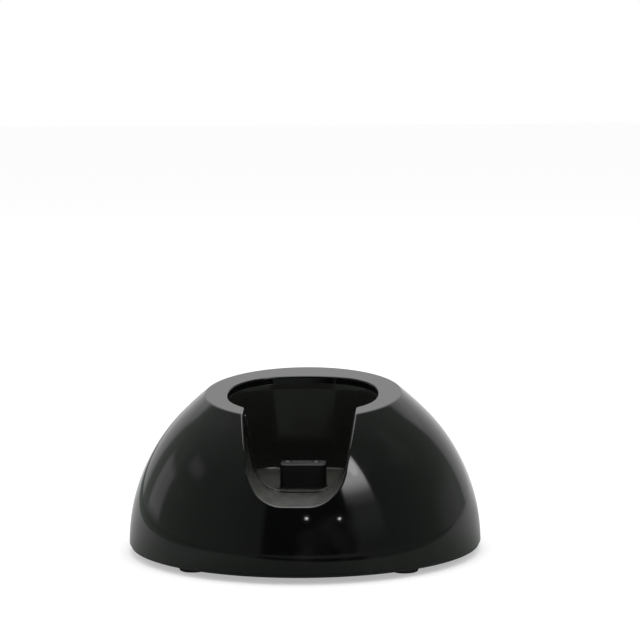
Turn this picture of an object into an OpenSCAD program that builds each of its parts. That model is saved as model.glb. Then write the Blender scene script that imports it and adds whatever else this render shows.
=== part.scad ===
// Charging stand for a cordless hair clipper: a glossy half dome with an oval well, an open
// notch in front of the well and a block on the well's floor that holds two sprung contacts.
// The origin is the centre of the footprint on the surface that the feet stand on.
// The notch faces -Y, the power inlet faces +Y, and +Z is up. Lengths are in millimetres.

/* [Base] */
// Diameter of the dome at its lower edge
base_d = 111; // [107:1:122]
// Height of the rubber feet below the base plate
foot_h = 2; // [1:0.5:4]
// Diameter of a rubber foot
foot_d = 8.4; // [7:0.1:9]
// Depth of the pocket that holds a rubber foot
foot_pocket = 1; // [0.6:0.1:1.4]
// Distance of a foot's centre from the dome's lower edge
foot_inset = 7.8; // [7.8:0.1:9]
// Thickness of the base plate
base_t = 2.4; // [2:0.1:3.4]
// Thickness of the base plate's edge that shows under the dome
base_lip_t = 0.7; // [0.5:0.1:1.2]
// How far the base plate's edge stays inside the dome's edge
base_lip_in = 0.5; // [0.2:0.1:1]
// Distance of a base screw from the dome's lower edge
base_screw_inset = 10; // [9.5:0.5:11.5]
// Diameter of a base screw's shank
base_screw_d = 3; // [2.6:0.1:3.4]

/* [Dome] */
// Radius of the dome's side, seen in section
dome_arc_r = 57.6; // [57:0.1:60]
// Height of that arc's centre above the base plate's underside
dome_arc_h = 0.7; // [0:0.1:1.4]
// Height above the base plate's underside at which the side runs into a flatter arc
dome_join_h = 41.8; // [39:0.2:43]
// Radius of the flatter arc, up to the rim
dome_flat_r = 120; // [90:5:160]
// Wall of the dome
dome_wall = 2.2; // [1.8:0.1:2.8]
// Height of the rim plane above the base plate's underside, on the dome's axis
rim_h = 48.9; // [48:0.1:50]
// Forward tilt of the rim plane in degrees
rim_tilt = 7.4; // [6:0.1:9]
// Thickness of the rim
rim_t = 2.2; // [1.6:0.1:3]

/* [Well] */
// Width of the well
well_w = 46.4; // [44:0.1:48]
// Length of the well from front to back
well_l = 41.1; // [39:0.1:42]
// Place of the well's centre along Y
well_y = -6.6; // [-7.4:0.1:-5.8]
// Radius of the well's front and back sides, in plan
well_long_r = 45; // [41:1:60]
// Radius of the well's left and right sides, in plan
well_short_r = 30; // [27:0.5:34]
// Radius of the well's corners, in plan
well_corner_r = 17.5; // [16:0.1:18]
// Height of the well's floor above the base plate's underside
well_floor_h = 21; // [20.4:0.1:23]
// Wall of the well's liner
liner_wall = 1.6; // [1.2:0.1:2]
// Thickness of the liner's floor
liner_floor_t = 1.8; // [1.4:0.1:2.4]

/* [Notch] */
// Width of the notch where its straight sides would meet its sill
notch_sill_w = 26.2; // [23:0.1:27]
// Lean of the notch's sides in degrees
notch_lean = 9; // [4:0.5:12]
// Radius of the notch's lower corners
notch_corner_r = 9; // [5:0.5:9.5]
// Wall of the notch's channel
channel_wall = 2; // [1.4:0.1:2.6]
// How far the liner stands proud of the notch's sill and sides
liner_step = 0.4; // [0.2:0.05:0.5]

/* [Contact block] */
// Width of the contact block
block_w = 14; // [13:0.1:16]
// Length of the contact block from front to back
block_l = 8.6; // [7.4:0.1:10]
// Height of the contact block above the well's floor
block_h = 7.5; // [6.4:0.1:9]
// Offset of the contact block from the stand's centre plane
block_x = 0.8; // [0:0.1:1]
// Distance of the contact block from the well's front side
block_front_gap = 2.3; // [1.4:0.1:2.7]
// Radius of the contact block's edges
block_edge_r = 1.1; // [0.6:0.1:1.4]
// Depth of the contact block's skirt below the liner's floor
skirt_h = 6; // [5.6:0.1:6.6]

/* [Contact pins] */
// Distance between the two contact pins
pin_pitch = 8.8; // [7.6:0.1:8.9]
// Offset of the pair of pins from the stand's centre plane
pin_x = 0.2; // [0.1:0.1:1]
// Diameter of a contact pin's tip
pin_d = 2.6; // [2:0.1:2.8]
// Height of a pin's tip above the contact block at rest
pin_proud = 0.35; // [0.2:0.05:0.8]
// Travel of a contact pin
pin_travel = 1.5; // [0.5:0.1:1.7]
// Distance of the pins behind the contact block's centre
pin_back = 2.2; // [0.6:0.1:2.4]
// Diameter of a contact spring's wire
spring_wire_d = 0.36; // [0.3:0.02:0.44]
// Turns of a contact spring
spring_turns = 4; // [3:1:5]

/* [Boards and inlet] */
// Thickness of the main board
board_t = 1.6; // [1:0.2:2]
// Width of the main board
board_w = 34; // [30:1:38]
// Length of the main board
board_l = 27; // [25:1:28]
// Height of the standoffs under the main board
standoff_h = 2; // [1.6:0.1:3]
// Thickness of the contact board
contact_board_t = 1.2; // [0.8:0.1:1.6]
// Diameter of the power inlet's centre pin
inlet_pin_d = 2; // [1.6:0.1:2.5]
// Bore of the power inlet
inlet_bore_d = 6.2; // [5.8:0.1:6.4]
// Diameter of the power inlet's nose
inlet_nose_d = 8; // [7.6:0.1:8.6]
// Diameter of the flat that is sunk round the power inlet
inlet_flat_d = 12; // [11:0.5:13]
// Diameter of a lead between the boards
lead_d = 1.2; // [0.9:0.1:1.4]

/* [Ballast] */
// Width of the steel ballast plate
ballast_w = 70; // [50:1:72]
// Length of the steel ballast plate
ballast_l = 38; // [30:1:40]
// Thickness of the steel ballast plate
ballast_t = 5; // [3:0.5:5.5]

/* [Hidden] */

// Smoothness of round faces, and of the thin springs and leads
$fn = 96;
coil_sides = 6;
coil_rings = 12;
lead_sides = 8;
lead_rings_per_bend = 6;

// Clearances: between fixed parts, round a screw, round a sliding contact pin
fit_gap = 0.1;
screw_gap = 0.03;
pin_gap = 0.05;
// Overlap that makes one solid of two shapes of the same part, and a cut's overshoot
weld = 0.2;
over = 1;
far = 200;
// A screw's hole is this much deeper than the screw
hole_spare = 0.4;

// Where one arc runs into another, the shapes lap by this much, so that their curves cross
lap = 0.05;
lap_reach = 8;

// Section of the dome: an arc that runs into a flatter one at the joint
base_r = base_d / 2;
base_z = foot_h;
dome_z = base_z + base_lip_t;
arc_z = base_z + dome_arc_h;
arc_x = base_r - sqrt(pow(dome_arc_r, 2) - pow(dome_z - arc_z, 2));
join_z = base_z + dome_join_h;
join_x = arc_x + sqrt(pow(dome_arc_r, 2) - pow(join_z - arc_z, 2));
join_out = [join_x - arc_x, join_z - arc_z] / dome_arc_r;
flat_arc_x = join_x - dome_flat_r * join_out[0];
flat_arc_z = join_z - dome_flat_r * join_out[1];
function steep_r(z, inward) = arc_x + sqrt(pow(dome_arc_r - inward, 2) - pow(z - arc_z, 2));
function flat_r(z, inward) =
    flat_arc_x + sqrt(pow(dome_flat_r - lap - inward, 2) - pow(z - flat_arc_z, 2));
function dome_r(z, inward = 0) = z < join_z
    ? steep_r(z, inward)
    : max(steep_r(z, inward), flat_r(z, inward));
function rim_z(y) = base_z + rim_h + y * tan(rim_tilt);
function rim_under_z(y) = rim_z(y) - rim_t / cos(rim_tilt);

// Well and notch
floor_z = base_z + well_floor_h;
floor_under_z = floor_z - liner_floor_t;
sill_z = floor_z - liner_step;
well_front_y = well_y - well_l / 2;
well_back_y = well_y + well_l / 2;
// Centre of a corner arc of the well, from the centres of the two arcs that it joins
long_c = [0, well_l / 2 - well_long_r];
short_c = [well_w / 2 - well_short_r, 0];
long_reach = well_long_r - well_corner_r;
short_reach = well_short_r - well_corner_r;
centre_gap = norm(short_c - long_c);
along = (long_reach * long_reach - short_reach * short_reach + centre_gap * centre_gap)
    / (2 * centre_gap);
aside = sqrt(long_reach * long_reach - along * along);
link = (short_c - long_c) / centre_gap;
corner_c = long_c + along * link + aside * [link[1], -link[0]];
// The rim's opening is this much wider than the liner all round
opening_gap = 0.3;

// Lugs that hold the liner under the rim
liner_screw_d = 2.2;
liner_screw_head_d = 4.2;
liner_screw_head_h = 1.5;
lug_r = 3;
lug_t = 2.4;
lug_clear = 0.6;
lug_boss_h = 6;
lug_boss_skin = 1.2;
lug_out = liner_wall + lug_clear + lug_r;
lug_side_x = well_w / 2 + lug_out;
lug_back_y = well_back_y + lug_out;
lug_z = rim_under_z(well_y) - lug_boss_h;
lugs = [[lug_side_x, well_y, 0], [-lug_side_x, well_y, 180], [0, lug_back_y, 90]];
liner_screw_bite = lug_boss_h - lug_boss_skin - hole_spare;

// Contact block, pins and springs
block_y = well_front_y + block_front_gap + block_l / 2;
block_top_z = floor_z + block_h;
skirt_margin = 1.8;
skirt_w = block_w + 2 * skirt_margin;
skirt_l = block_l + 2 * skirt_margin;
contact_board_z = floor_under_z - skirt_h;
pins_at = [for (s = [-1, 1]) [pin_x + s * pin_pitch / 2, block_y + pin_back]];
pin_r = pin_d / 2;
pin_tip_z = block_top_z + pin_proud;
pin_tip_dome = 0.5;
collar_w = 0.55;
collar_h = 1;
collar_r = pin_r + collar_w;
collar_bore_r = collar_r + pin_gap;
shoulder_in = 0.5;
shoulder_z = floor_under_z - shoulder_in;
seat_t = 0.3;
seat_r = collar_r - fit_gap;
seat_tail_r = 0.4;
seat_tail_l = 0.8;
spring_r = collar_r - spring_wire_d / 2 - pin_gap;
spring_low_z = contact_board_z + seat_t;
spring_high_z = shoulder_z - collar_h;
spring_rise = spring_high_z - spring_low_z - spring_wire_d;
stem_gap = 0.25;
stem_spare = 0.6;
pin_stem_r = spring_r - spring_wire_d / 2 - stem_gap;
pin_stem_l = spring_high_z - spring_low_z - pin_travel - stem_spare;

// Contact board under the liner's floor, on two bosses of the liner
contact_boss_r = 2.5;
contact_boss_gap = 1.4;
contact_boss_x = skirt_w / 2 + contact_boss_gap + contact_boss_r;
contact_board_rim = 0.5;
contact_board_w = 2 * (contact_boss_x + contact_boss_r + contact_board_rim);
contact_board_l = skirt_l;
contact_board_under_z = contact_board_z - contact_board_t;
contact_bosses = [for (s = [-1, 1]) [block_x + s * contact_boss_x, block_y]];
contact_screw_d = 2;
contact_screw_head_d = 3.8;
contact_screw_head_h = 1.3;
contact_screw_short = 0.8;
contact_screw_bite = skirt_h - contact_screw_short;

// Base plate, its screws and its feet
base_top_z = base_z + base_t;
spigot_gap = 0.2;
spigot_r = dome_r(base_top_z, dome_wall) - spigot_gap;
base_screw_pad_h = 2;
base_screw_pad_r = 4.6;
base_screw_head_w = 1.3;
base_screw_head_d = base_screw_d + 2 * base_screw_head_w;
base_screw_head_h = 1.8;
base_screw_head_gap = 0.3;
base_screw_sink = 0.5;
base_screw_seat_z = base_z + base_screw_sink + base_screw_head_h;
base_boss_z = base_top_z + base_screw_pad_h;
base_boss_r = 3.5;
base_boss_h = 20;
base_screw_bite = 8;
base_screw_r = base_r - base_screw_inset;
base_screws_at = [for (a = [25, 155, 250, 290]) base_screw_r * [cos(a), sin(a)]];
foot_circle_r = base_r - foot_inset;
feet = [for (a = [228, 312, 132, 48]) foot_circle_r * [cos(a), sin(a)]];
// Blind screw holes leave this much of the base plate under them
plate_skin = 1;
recess_w = 34;
recess_l = 18;
recess_depth = 0.4;
recess_y = -8;

// Main board and power inlet
board_z = base_top_z + standoff_h;
board_top_z = board_z + board_t;
inlet_body_w = 9.6;
inlet_body_h = 10.4;
inlet_body_l = 12.4;
inlet_pad_t = 3.4;
inlet_pad_margin = 2;
inlet_flat_in = 0.3;
inlet_nose_in = 0.2;
inlet_z = board_top_z + inlet_body_h / 2;
inlet_face_y = dome_r(inlet_z + inlet_flat_d / 2) - inlet_flat_in;
inlet_pad_y = inlet_face_y - inlet_pad_t;
inlet_front_y = inlet_pad_y - fit_gap;
inlet_nose_y = inlet_face_y - inlet_nose_in;
inlet_back_y = inlet_front_y - inlet_body_l;
inlet_bore_l = 12.4;
inlet_bore_y = inlet_nose_y - inlet_bore_l;
inlet_pin_in = 0.8;
inlet_tail_w = 0.4;
inlet_tail_d = inlet_pin_d + 2 * inlet_tail_w;
inlet_tail_l = inlet_bore_y - inlet_back_y;
side_contact_in = 0.3;
inlet_pin_tip_y = inlet_nose_y - inlet_pin_in;
board_edge_gap = 1;
board_back_y = inlet_front_y - board_edge_gap;
board_front_y = board_back_y - board_l;
board_corner_r = 1.5;
board_screw_d = 2.2;
board_screw_head_d = 4;
board_screw_head_h = 1.4;
board_screw_in = 3.2;
board_screw_x = board_w / 2 - board_screw_in;
board_screws_at = [for (x = [-board_screw_x, board_screw_x],
                        y = [board_front_y + board_screw_in, board_back_y - board_screw_in]) [x, y]];
standoff_r = 2.5;

// Places on the main board: two columns of parts beside the inlet and the header, in rows at
// these distances from the board's front edge
column_shift = 1.5;
column_x = board_w / 4 + column_shift;
tall_row_in = 15;
diode_in = 11.5;
controller_in = 8;
resistor_in = 3.4;
tall_row_y = board_front_y + tall_row_in;
controller_y = board_front_y + controller_in;
diode_y = board_front_y + diode_in;
resistor_y = board_front_y + resistor_in;

// Ballast plate, in front of the main board
ballast_board_gap = 12;
ballast_y = board_front_y - ballast_board_gap - ballast_l / 2;
ballast_top_z = base_top_z + ballast_t;
ballast_corner_r = 6;
ballast_screw_d = 3;
ballast_screw_head_d = 5.4;
ballast_screw_head_h = 1.8;
ballast_screw_in = 8;
ballast_screws_at = [for (s = [-1, 1]) [s * (ballast_w / 2 - ballast_screw_in), ballast_y]];
ballast_seat_t = 1.2;
ballast_boss_h = ballast_t - ballast_seat_t;
ballast_boss_r = 2.8;

// Plug and header that join the leads to the main board
plug_w = 8;
plug_h = 4;
plug_l = 6;
plug_grip = 3.6;
header_l = 5;
header_wall = 0.8;
header_in = 2.4;
header_pin_r = 0.35;
header_pin_l = 2.4;
lead_pitch = 2.6;
lead_behind_pin = 1.9;
lead_straight = 3;
plug_z = board_top_z + header_wall + fit_gap;
header_y = board_front_y + header_in;
plug_y = header_y - plug_grip;
lead_z = plug_z + plug_h / 2;
lead_bend_r = min(2, contact_board_under_z - lead_z - weld);

// Shapes in plan that more than one part uses

// The well's outline: four pairs of arcs that run into each other, grown outwards by a margin
module well_outline(grow = 0) {
    corner_x = corner_c[0] + (corner_c[0] - long_c[0]) / long_reach * (well_corner_r + grow);
    corner_y = corner_c[1] + (corner_c[1] - short_c[1]) / short_reach * (well_corner_r + grow);
    translate([0, well_y]) {
        intersection() {
            square([2 * corner_x, far], center = true);
            translate([0, -long_c[1]]) circle(r = well_long_r + grow);
            translate([0, long_c[1]]) circle(r = well_long_r + grow);
        }
        intersection() {
            square([far, 2 * corner_y], center = true);
            translate([short_c[0], 0]) circle(r = well_short_r + grow);
            translate([-short_c[0], 0]) circle(r = well_short_r + grow);
        }
        for (sx = [-1, 1], sy = [-1, 1])
            translate([sx * corner_c[0], sy * corner_c[1]])
                circle(r = well_corner_r + lap + grow);
    }
}

// The notch's outline seen from the front: leaning sides and round lower corners
module notch_outline(grow = 0) {
    r = notch_corner_r + grow;
    low = sill_z - grow;
    reach = notch_sill_w / 2 * cos(notch_lean) - sill_z * sin(notch_lean);
    mid_z = sill_z + notch_corner_r;
    mid_x = (reach - notch_corner_r + mid_z * sin(notch_lean)) / cos(notch_lean);
    side = [mid_x + r * cos(notch_lean), mid_z - r * sin(notch_lean)];
    top = [side[0] + (far / 2 - side[1]) * tan(notch_lean), far / 2];
    polygon([[-mid_x, low], [mid_x, low], side, top, [-top[0], top[1]], [-side[0], side[1]]]);
    for (s = [-1, 1]) translate([s * mid_x, mid_z]) circle(r = r);
}

// A block that runs along Y from the front to a given place, with the notch's outline
module notch_bar(to_y, grow = 0) {
    translate([0, to_y, 0]) rotate([90, 0, 0]) linear_extrude(far / 2) notch_outline(grow);
}

// All that lies under a plane that is parallel to the rim plane
module below_rim(sink = 0) {
    translate([0, 0, base_z + rim_h]) rotate([rim_tilt, 0, 0])
        translate([-far / 2, -far / 2, -far - sink]) cube(far);
}

// A body of revolution with the dome's section, set back by a margin
module dome_body(inward, low_z) {
    rotate_extrude() {
        intersection() {
            translate([arc_x, arc_z]) circle(r = dome_arc_r - inward);
            translate([0, low_z]) square([far, join_z + lap_reach - low_z]);
        }
        intersection() {
            translate([flat_arc_x, flat_arc_z]) circle(r = dome_flat_r - lap - inward);
            translate([0, join_z]) square(far);
        }
    }
}

// A rectangle with round corners
module rounded_plate(w, l, r) {
    for (sx = [-1, 1], sy = [-1, 1])
        translate([sx * (w / 2 - r), sy * (l / 2 - r)]) circle(r = r);
    square([w - 2 * r, l], center = true);
    square([w, l - 2 * r], center = true);
}

// A screw that points up: its head rests against the underside of a seat at the origin
module screw_up(d, length, head_d, head_h) {
    slot_w = head_d / 6;
    slot_l = head_d * 0.6;
    slot_depth = head_h / 2;
    translate([0, 0, -weld]) cylinder(d = d, h = length + weld);
    translate([0, 0, -head_h]) difference() {
        cylinder(d = head_d, h = head_h);
        for (a = [0, 90]) rotate(a) cube([slot_l, slot_w, 2 * slot_depth], center = true);
    }
}

// Moulded parts of the body

module dome_shell() {
    color("#0c0d0e") difference() {
        union() {
            difference() {
                intersection() {
                    dome_body(0, dome_z);
                    below_rim();
                }
                intersection() {
                    dome_body(dome_wall, dome_z - over);
                    below_rim(rim_t);
                }
            }
            intersection() {
                dome_body(dome_wall / 2, dome_z);
                below_rim(rim_t / 2);
                union() {
                    notch_bar(well_y, channel_wall);
                    for (p = base_screws_at) translate([p[0], p[1], base_boss_z])
                        cylinder(r = base_boss_r, h = base_boss_h);
                    for (p = lugs) translate([p[0], p[1], lug_z]) cylinder(r = lug_r, h = far / 2);
                    inlet_pad();
                }
            }
        }
        // The well, down through the rim, and the liner's space under it
        translate([0, 0, floor_z]) linear_extrude(far) well_outline(opening_gap);
        intersection() {
            translate([0, 0, base_z]) linear_extrude(far) well_outline(liner_wall + fit_gap);
            below_rim(rim_t);
        }
        notch_bar(well_y);
        for (p = base_screws_at) translate([p[0], p[1], base_boss_z - over])
            cylinder(r = base_screw_d / 2 + screw_gap, h = over + base_screw_bite + hole_spare);
        for (p = lugs) translate([p[0], p[1], lug_z - over])
            cylinder(r = liner_screw_d / 2 + screw_gap, h = over + liner_screw_bite + hole_spare);
        // The inlet's hole, and the flat that is sunk round it
        translate([0, inlet_pad_y - over, inlet_z]) rotate([-90, 0, 0])
            cylinder(d = inlet_nose_d + 2 * fit_gap, h = far);
        translate([0, inlet_face_y, inlet_z]) rotate([-90, 0, 0])
            cylinder(d = inlet_flat_d, h = far);
    }
}

// The thick patch inside the dome that the power inlet's nose passes through
module inlet_pad() {
    w = inlet_flat_d + 2 * inlet_pad_margin;
    low_z = base_top_z + fit_gap;
    top_z = inlet_z + w / 2;
    translate([-w / 2, inlet_pad_y, low_z]) cube([w, far, top_z - low_z]);
}

module well_liner() {
    color("#15171a") difference() {
        union() {
            intersection() {
                translate([0, 0, floor_under_z]) linear_extrude(far) well_outline(liner_wall);
                below_rim(rim_t);
            }
            for (p = lugs) translate([p[0], p[1], lug_z - lug_t]) rotate(p[2]) {
                cylinder(r = lug_r, h = lug_t);
                translate([-lug_out + liner_wall / 2, -lug_r, 0])
                    cube([lug_out - liner_wall / 2, 2 * lug_r, lug_t]);
            }
            for (p = contact_bosses) translate([p[0], p[1], contact_board_z])
                cylinder(r = contact_boss_r, h = skirt_h + liner_floor_t / 2);
        }
        translate([0, 0, floor_z]) linear_extrude(far) well_outline();
        notch_bar(well_y, -liner_step);
        for (p = lugs) translate([p[0], p[1], lug_z - lug_t - over])
            cylinder(r = liner_screw_d / 2 + fit_gap, h = lug_t + 2 * over);
        translate([block_x, block_y, floor_under_z - over])
            linear_extrude(liner_floor_t + 2 * over)
                rounded_plate(block_w + 2 * fit_gap, block_l + 2 * fit_gap,
                              block_edge_r + fit_gap);
        for (p = contact_bosses) translate([p[0], p[1], contact_board_z - over])
            cylinder(r = contact_screw_d / 2 + screw_gap,
                     h = over + contact_screw_bite + hole_spare);
    }
}

module liner_screws() {
    color("silver") for (p = lugs) translate([p[0], p[1], lug_z - lug_t])
        screw_up(liner_screw_d, lug_t + liner_screw_bite, liner_screw_head_d, liner_screw_head_h);
}

// Contact block with its pins, springs and board

module contact_block() {
    color("#101113") difference() {
        union() {
            intersection() {
                translate([block_x, block_y, floor_under_z - weld])
                    linear_extrude(far) rounded_plate(block_w, block_l, block_edge_r);
                translate([block_x, 0, 0]) round_topped_bar(block_w);
                translate([0, block_y, 0]) rotate(90) round_topped_bar(block_l);
            }
            translate([block_x, block_y, contact_board_z])
                linear_extrude(skirt_h) rounded_plate(skirt_w, skirt_l, block_edge_r);
        }
        for (p = pins_at) translate([p[0], p[1], contact_board_z - over]) {
            cylinder(r = pin_r + pin_gap, h = far);
            cylinder(r = collar_bore_r, h = over + shoulder_z - contact_board_z);
        }
    }
}

// A long bar along Y whose upper edges are round, up to the top of the contact block
module round_topped_bar(w) {
    side_h = block_top_z - block_edge_r;
    rotate([90, 0, 0]) linear_extrude(far, center = true) {
        translate([-w / 2, 0]) square([w, side_h]);
        translate([-w / 2 + block_edge_r, 0]) square([w - 2 * block_edge_r, block_top_z]);
        for (s = [-1, 1]) translate([s * (w / 2 - block_edge_r), side_h]) circle(r = block_edge_r);
    }
}

// A contact pin: a domed tip, a shank, a collar that stops it and a stem inside its spring
module contact_pin(at) {
    dome_r = (pin_r * pin_r + pin_tip_dome * pin_tip_dome) / (2 * pin_tip_dome);
    shank_top_z = pin_tip_z - pin_tip_dome;
    collar_z = shoulder_z - collar_h;
    color("#c9b26a") translate([at[0], at[1], 0]) {
        intersection() {
            translate([0, 0, shank_top_z]) cylinder(r = pin_r, h = pin_tip_dome);
            translate([0, 0, pin_tip_z - dome_r]) sphere(r = dome_r);
        }
        translate([0, 0, collar_z]) cylinder(r = pin_r, h = shank_top_z - collar_z);
        translate([0, 0, collar_z]) cylinder(r = collar_r, h = collar_h);
        translate([0, 0, collar_z - pin_stem_l])
            cylinder(r = pin_stem_r, h = pin_stem_l + weld);
    }
}

module contact_pin_left() { contact_pin(pins_at[0]); }

module contact_pin_right() { contact_pin(pins_at[1]); }

// A compression spring between its seat and the pin's collar
module contact_spring(at) {
    low_z = spring_low_z + spring_wire_d / 2;
    steps = spring_turns * coil_rings;
    path = [for (i = [0:steps]) let (a = 360 * i / coil_rings)
        [at[0] + spring_r * cos(a), at[1] + spring_r * sin(a), low_z + spring_rise * i / steps]];
    color("silver") tube(path, spring_wire_d / 2, coil_sides);
}

module contact_spring_left() { contact_spring(pins_at[0]); }

module contact_spring_right() { contact_spring(pins_at[1]); }

// A brass seat that carries a spring's current through the contact board
module spring_seat(at) {
    color("#c79a3e") translate([at[0], at[1], contact_board_z]) {
        cylinder(r = seat_r, h = seat_t);
        translate([0, 0, -contact_board_t - seat_tail_l])
            cylinder(r = seat_tail_r, h = contact_board_t + seat_tail_l + seat_t);
    }
}

module spring_seat_left() { spring_seat(pins_at[0]); }

module spring_seat_right() { spring_seat(pins_at[1]); }

module contact_board() {
    color("#2f6b3a") difference() {
        translate([block_x, block_y, contact_board_under_z]) linear_extrude(contact_board_t)
            rounded_plate(contact_board_w, contact_board_l, 1);
        for (p = contact_bosses) translate([p[0], p[1], contact_board_under_z - over])
            cylinder(r = contact_screw_d / 2 + fit_gap, h = contact_board_t + 2 * over);
        for (p = pins_at) translate([p[0], p[1], contact_board_under_z - over])
            cylinder(r = seat_tail_r + pin_gap, h = contact_board_t + 2 * over);
    }
}

module contact_board_screws() {
    color("silver") for (p = contact_bosses) translate([p[0], p[1], contact_board_under_z])
        screw_up(contact_screw_d, contact_board_t + contact_screw_bite,
                 contact_screw_head_d, contact_screw_head_h);
}

// Leads from the contact board back to the main board

// The points of a lead: down from the contact board, round a bend, back and in to the plug
function lead_path(i) =
    let (n = lead_rings_per_bend, r = lead_bend_r,
         at = [pins_at[i][0], pins_at[i][1] + lead_behind_pin],
         run_y = at[1] + r,
         end = [(2 * i - 1) * lead_pitch / 2, plug_y, lead_z],
         bend = [for (k = [0:n]) let (a = 90 * k / n)
             [at[0], at[1] + r * (1 - cos(a)), lead_z + r * (1 - sin(a))]],
         run = [for (k = [1:2 * n]) let (u = k / (2 * n), s = u * u * (3 - 2 * u))
             [at[0] + (end[0] - at[0]) * s, run_y + (plug_y - lead_straight - run_y) * u, lead_z]])
    concat([[at[0], at[1], contact_board_under_z]], bend, run, [end]);

module lead_positive() {
    color("#b3261e") tube(lead_path(1), lead_d / 2, lead_sides);
}

module lead_negative() {
    color("#1d1d1f") tube(lead_path(0), lead_d / 2, lead_sides);
}

// A tube of many flats along a path, with flat ends square to the path
module tube(path, r, sides) {
    n = len(path);
    function heading(i) =
        let (d = path[min(i + 1, n - 1)] - path[max(i - 1, 0)]) d / norm(d);
    function end_heading(i) =
        i == 0 ? (path[1] - path[0]) / norm(path[1] - path[0])
        : i == n - 1 ? (path[n - 1] - path[n - 2]) / norm(path[n - 1] - path[n - 2])
        : heading(i);
    // A reference direction that is carried from ring to ring keeps the tube from twisting
    function carried(i, u) = let (t = end_heading(i), v = u - (u * t) * t) v / norm(v);
    first_guess = abs(end_heading(0)[2]) > 0.9 ? [1, 0, 0] : [0, 0, 1];
    frames = [for (i = 0, u = carried(0, first_guess); i < n;
                   i = i + 1, u = i < n ? carried(i, u) : u) u];
    points = [for (i = [0:n - 1]) let (t = end_heading(i), u = frames[i], v = cross(t, u))
        for (k = [0:sides - 1]) let (a = 360 * k / sides)
            path[i] + r * cos(a) * u + r * sin(a) * v];
    sides_of_tube = [for (i = [0:n - 2], k = [0:sides - 1])
        let (a = i * sides + k, b = i * sides + (k + 1) % sides)
            each [[a, a + sides, b], [b, a + sides, b + sides]]];
    ends = [for (k = [1:sides - 2]) each [[0, k, k + 1],
        [(n - 1) * sides, (n - 1) * sides + k + 1, (n - 1) * sides + k]]];
    polyhedron(points, concat(sides_of_tube, ends));
}

// The plug on the leads' ends, with two latch windows in its top
module lead_plug() {
    window = 1.2;
    color("#e8e4d8") difference() {
        translate([-plug_w / 2, plug_y, plug_z]) cube([plug_w, plug_l, plug_h]);
        for (s = [-1, 1]) {
            translate([s * lead_pitch / 2, plug_y + plug_l / 2 - 0.2, plug_z + plug_h])
                cube([window, 2 * window, window], center = true);
            translate([s * lead_pitch / 2, plug_y + plug_l + over, lead_z]) rotate([90, 0, 0])
                cylinder(r = header_pin_r + fit_gap, h = over + header_pin_l);
        }
    }
}

// The header on the board: a box that is open to the front, with two pins
module lead_header() {
    pocket = [plug_w + 2 * fit_gap, plug_l - plug_grip + fit_gap, plug_h + 2 * fit_gap];
    color("#e8e4d8") {
        difference() {
            translate([-pocket[0] / 2 - header_wall, header_y, board_top_z])
                cube([pocket[0] + 2 * header_wall, header_l, pocket[2] + 2 * header_wall]);
            translate([-pocket[0] / 2, header_y - over, plug_z - fit_gap])
                cube([pocket[0], pocket[1] + over, pocket[2]]);
        }
        for (s = [-1, 1]) translate([s * lead_pitch / 2, header_y + pocket[1] + weld, lead_z])
            rotate([90, 0, 0]) cylinder(r = header_pin_r, h = header_pin_l);
    }
}

// Main board and what is soldered to it

module main_board() {
    color("#2f6b3a") difference() {
        translate([0, (board_front_y + board_back_y) / 2, board_z])
            linear_extrude(board_t) rounded_plate(board_w, board_l, board_corner_r);
        for (p = board_screws_at) translate([p[0], p[1], board_z - over])
            cylinder(r = board_screw_d / 2 + fit_gap, h = board_t + 2 * over);
    }
}

module main_board_screws() {
    color("silver") for (p = board_screws_at) translate([p[0], p[1], board_top_z])
        rotate([180, 0, 0])
            screw_up(board_screw_d, board_top_z - base_z - plate_skin - hole_spare,
                     board_screw_head_d, board_screw_head_h);
}

// The power inlet: a housing on the board whose round nose comes through the dome's back
module inlet_housing() {
    color("#17181a") difference() {
        union() {
            translate([-inlet_body_w / 2, inlet_back_y, board_top_z])
                cube([inlet_body_w, inlet_body_l, inlet_body_h]);
            translate([0, inlet_front_y - weld, inlet_z]) rotate([-90, 0, 0])
                cylinder(d = inlet_nose_d, h = inlet_nose_y - inlet_front_y + weld);
        }
        translate([0, inlet_bore_y, inlet_z]) rotate([-90, 0, 0])
            cylinder(d = inlet_bore_d, h = far);
        translate([0, inlet_back_y - over, inlet_z]) rotate([-90, 0, 0])
            cylinder(r = inlet_tail_d / 2 + screw_gap, h = over + inlet_tail_l + weld);
        side_contact_slot(fit_gap);
    }
}

module inlet_centre_pin() {
    tip_in = 0.5;
    color("silver") translate([0, inlet_back_y, inlet_z]) rotate([-90, 0, 0]) {
        cylinder(d = inlet_tail_d, h = inlet_tail_l);
        cylinder(d = inlet_pin_d, h = inlet_pin_tip_y - inlet_back_y - tip_in);
        translate([0, 0, inlet_pin_tip_y - inlet_back_y - tip_in])
            cylinder(d1 = inlet_pin_d, d2 = inlet_pin_d - tip_in, h = tip_in);
    }
}

// The slot in the inlet's roof that its side contact lies in
module side_contact_slot(gap) {
    size = [2.4, 7, 0.4];
    mouth_in = 1.5;
    low_z = inlet_z + inlet_bore_d / 2 - side_contact_in;
    translate([-size[0] / 2 - gap, inlet_front_y - mouth_in - size[1] - gap, low_z])
        cube([size[0] + 2 * gap, size[1] + 2 * gap, size[2] + side_contact_in + gap]);
}

// A spring tongue whose underside is flush with the bore's wall, or a little inside it
module inlet_side_contact() {
    color("#c79a3e") difference() {
        side_contact_slot(0);
        translate([0, inlet_bore_y, inlet_z]) rotate([-90, 0, 0])
            cylinder(r = inlet_bore_d / 2 - side_contact_in / 2, h = far);
    }
}

module smoothing_capacitor() {
    can = [6.3, 9];
    foot = [6.6, 6.6, 1];
    color("#30343c") translate([-column_x, tall_row_y, board_top_z]) {
        translate([-foot[0] / 2, -foot[1] / 2, 0]) cube(foot);
        cylinder(d = can[0], h = can[1]);
    }
}

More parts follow.
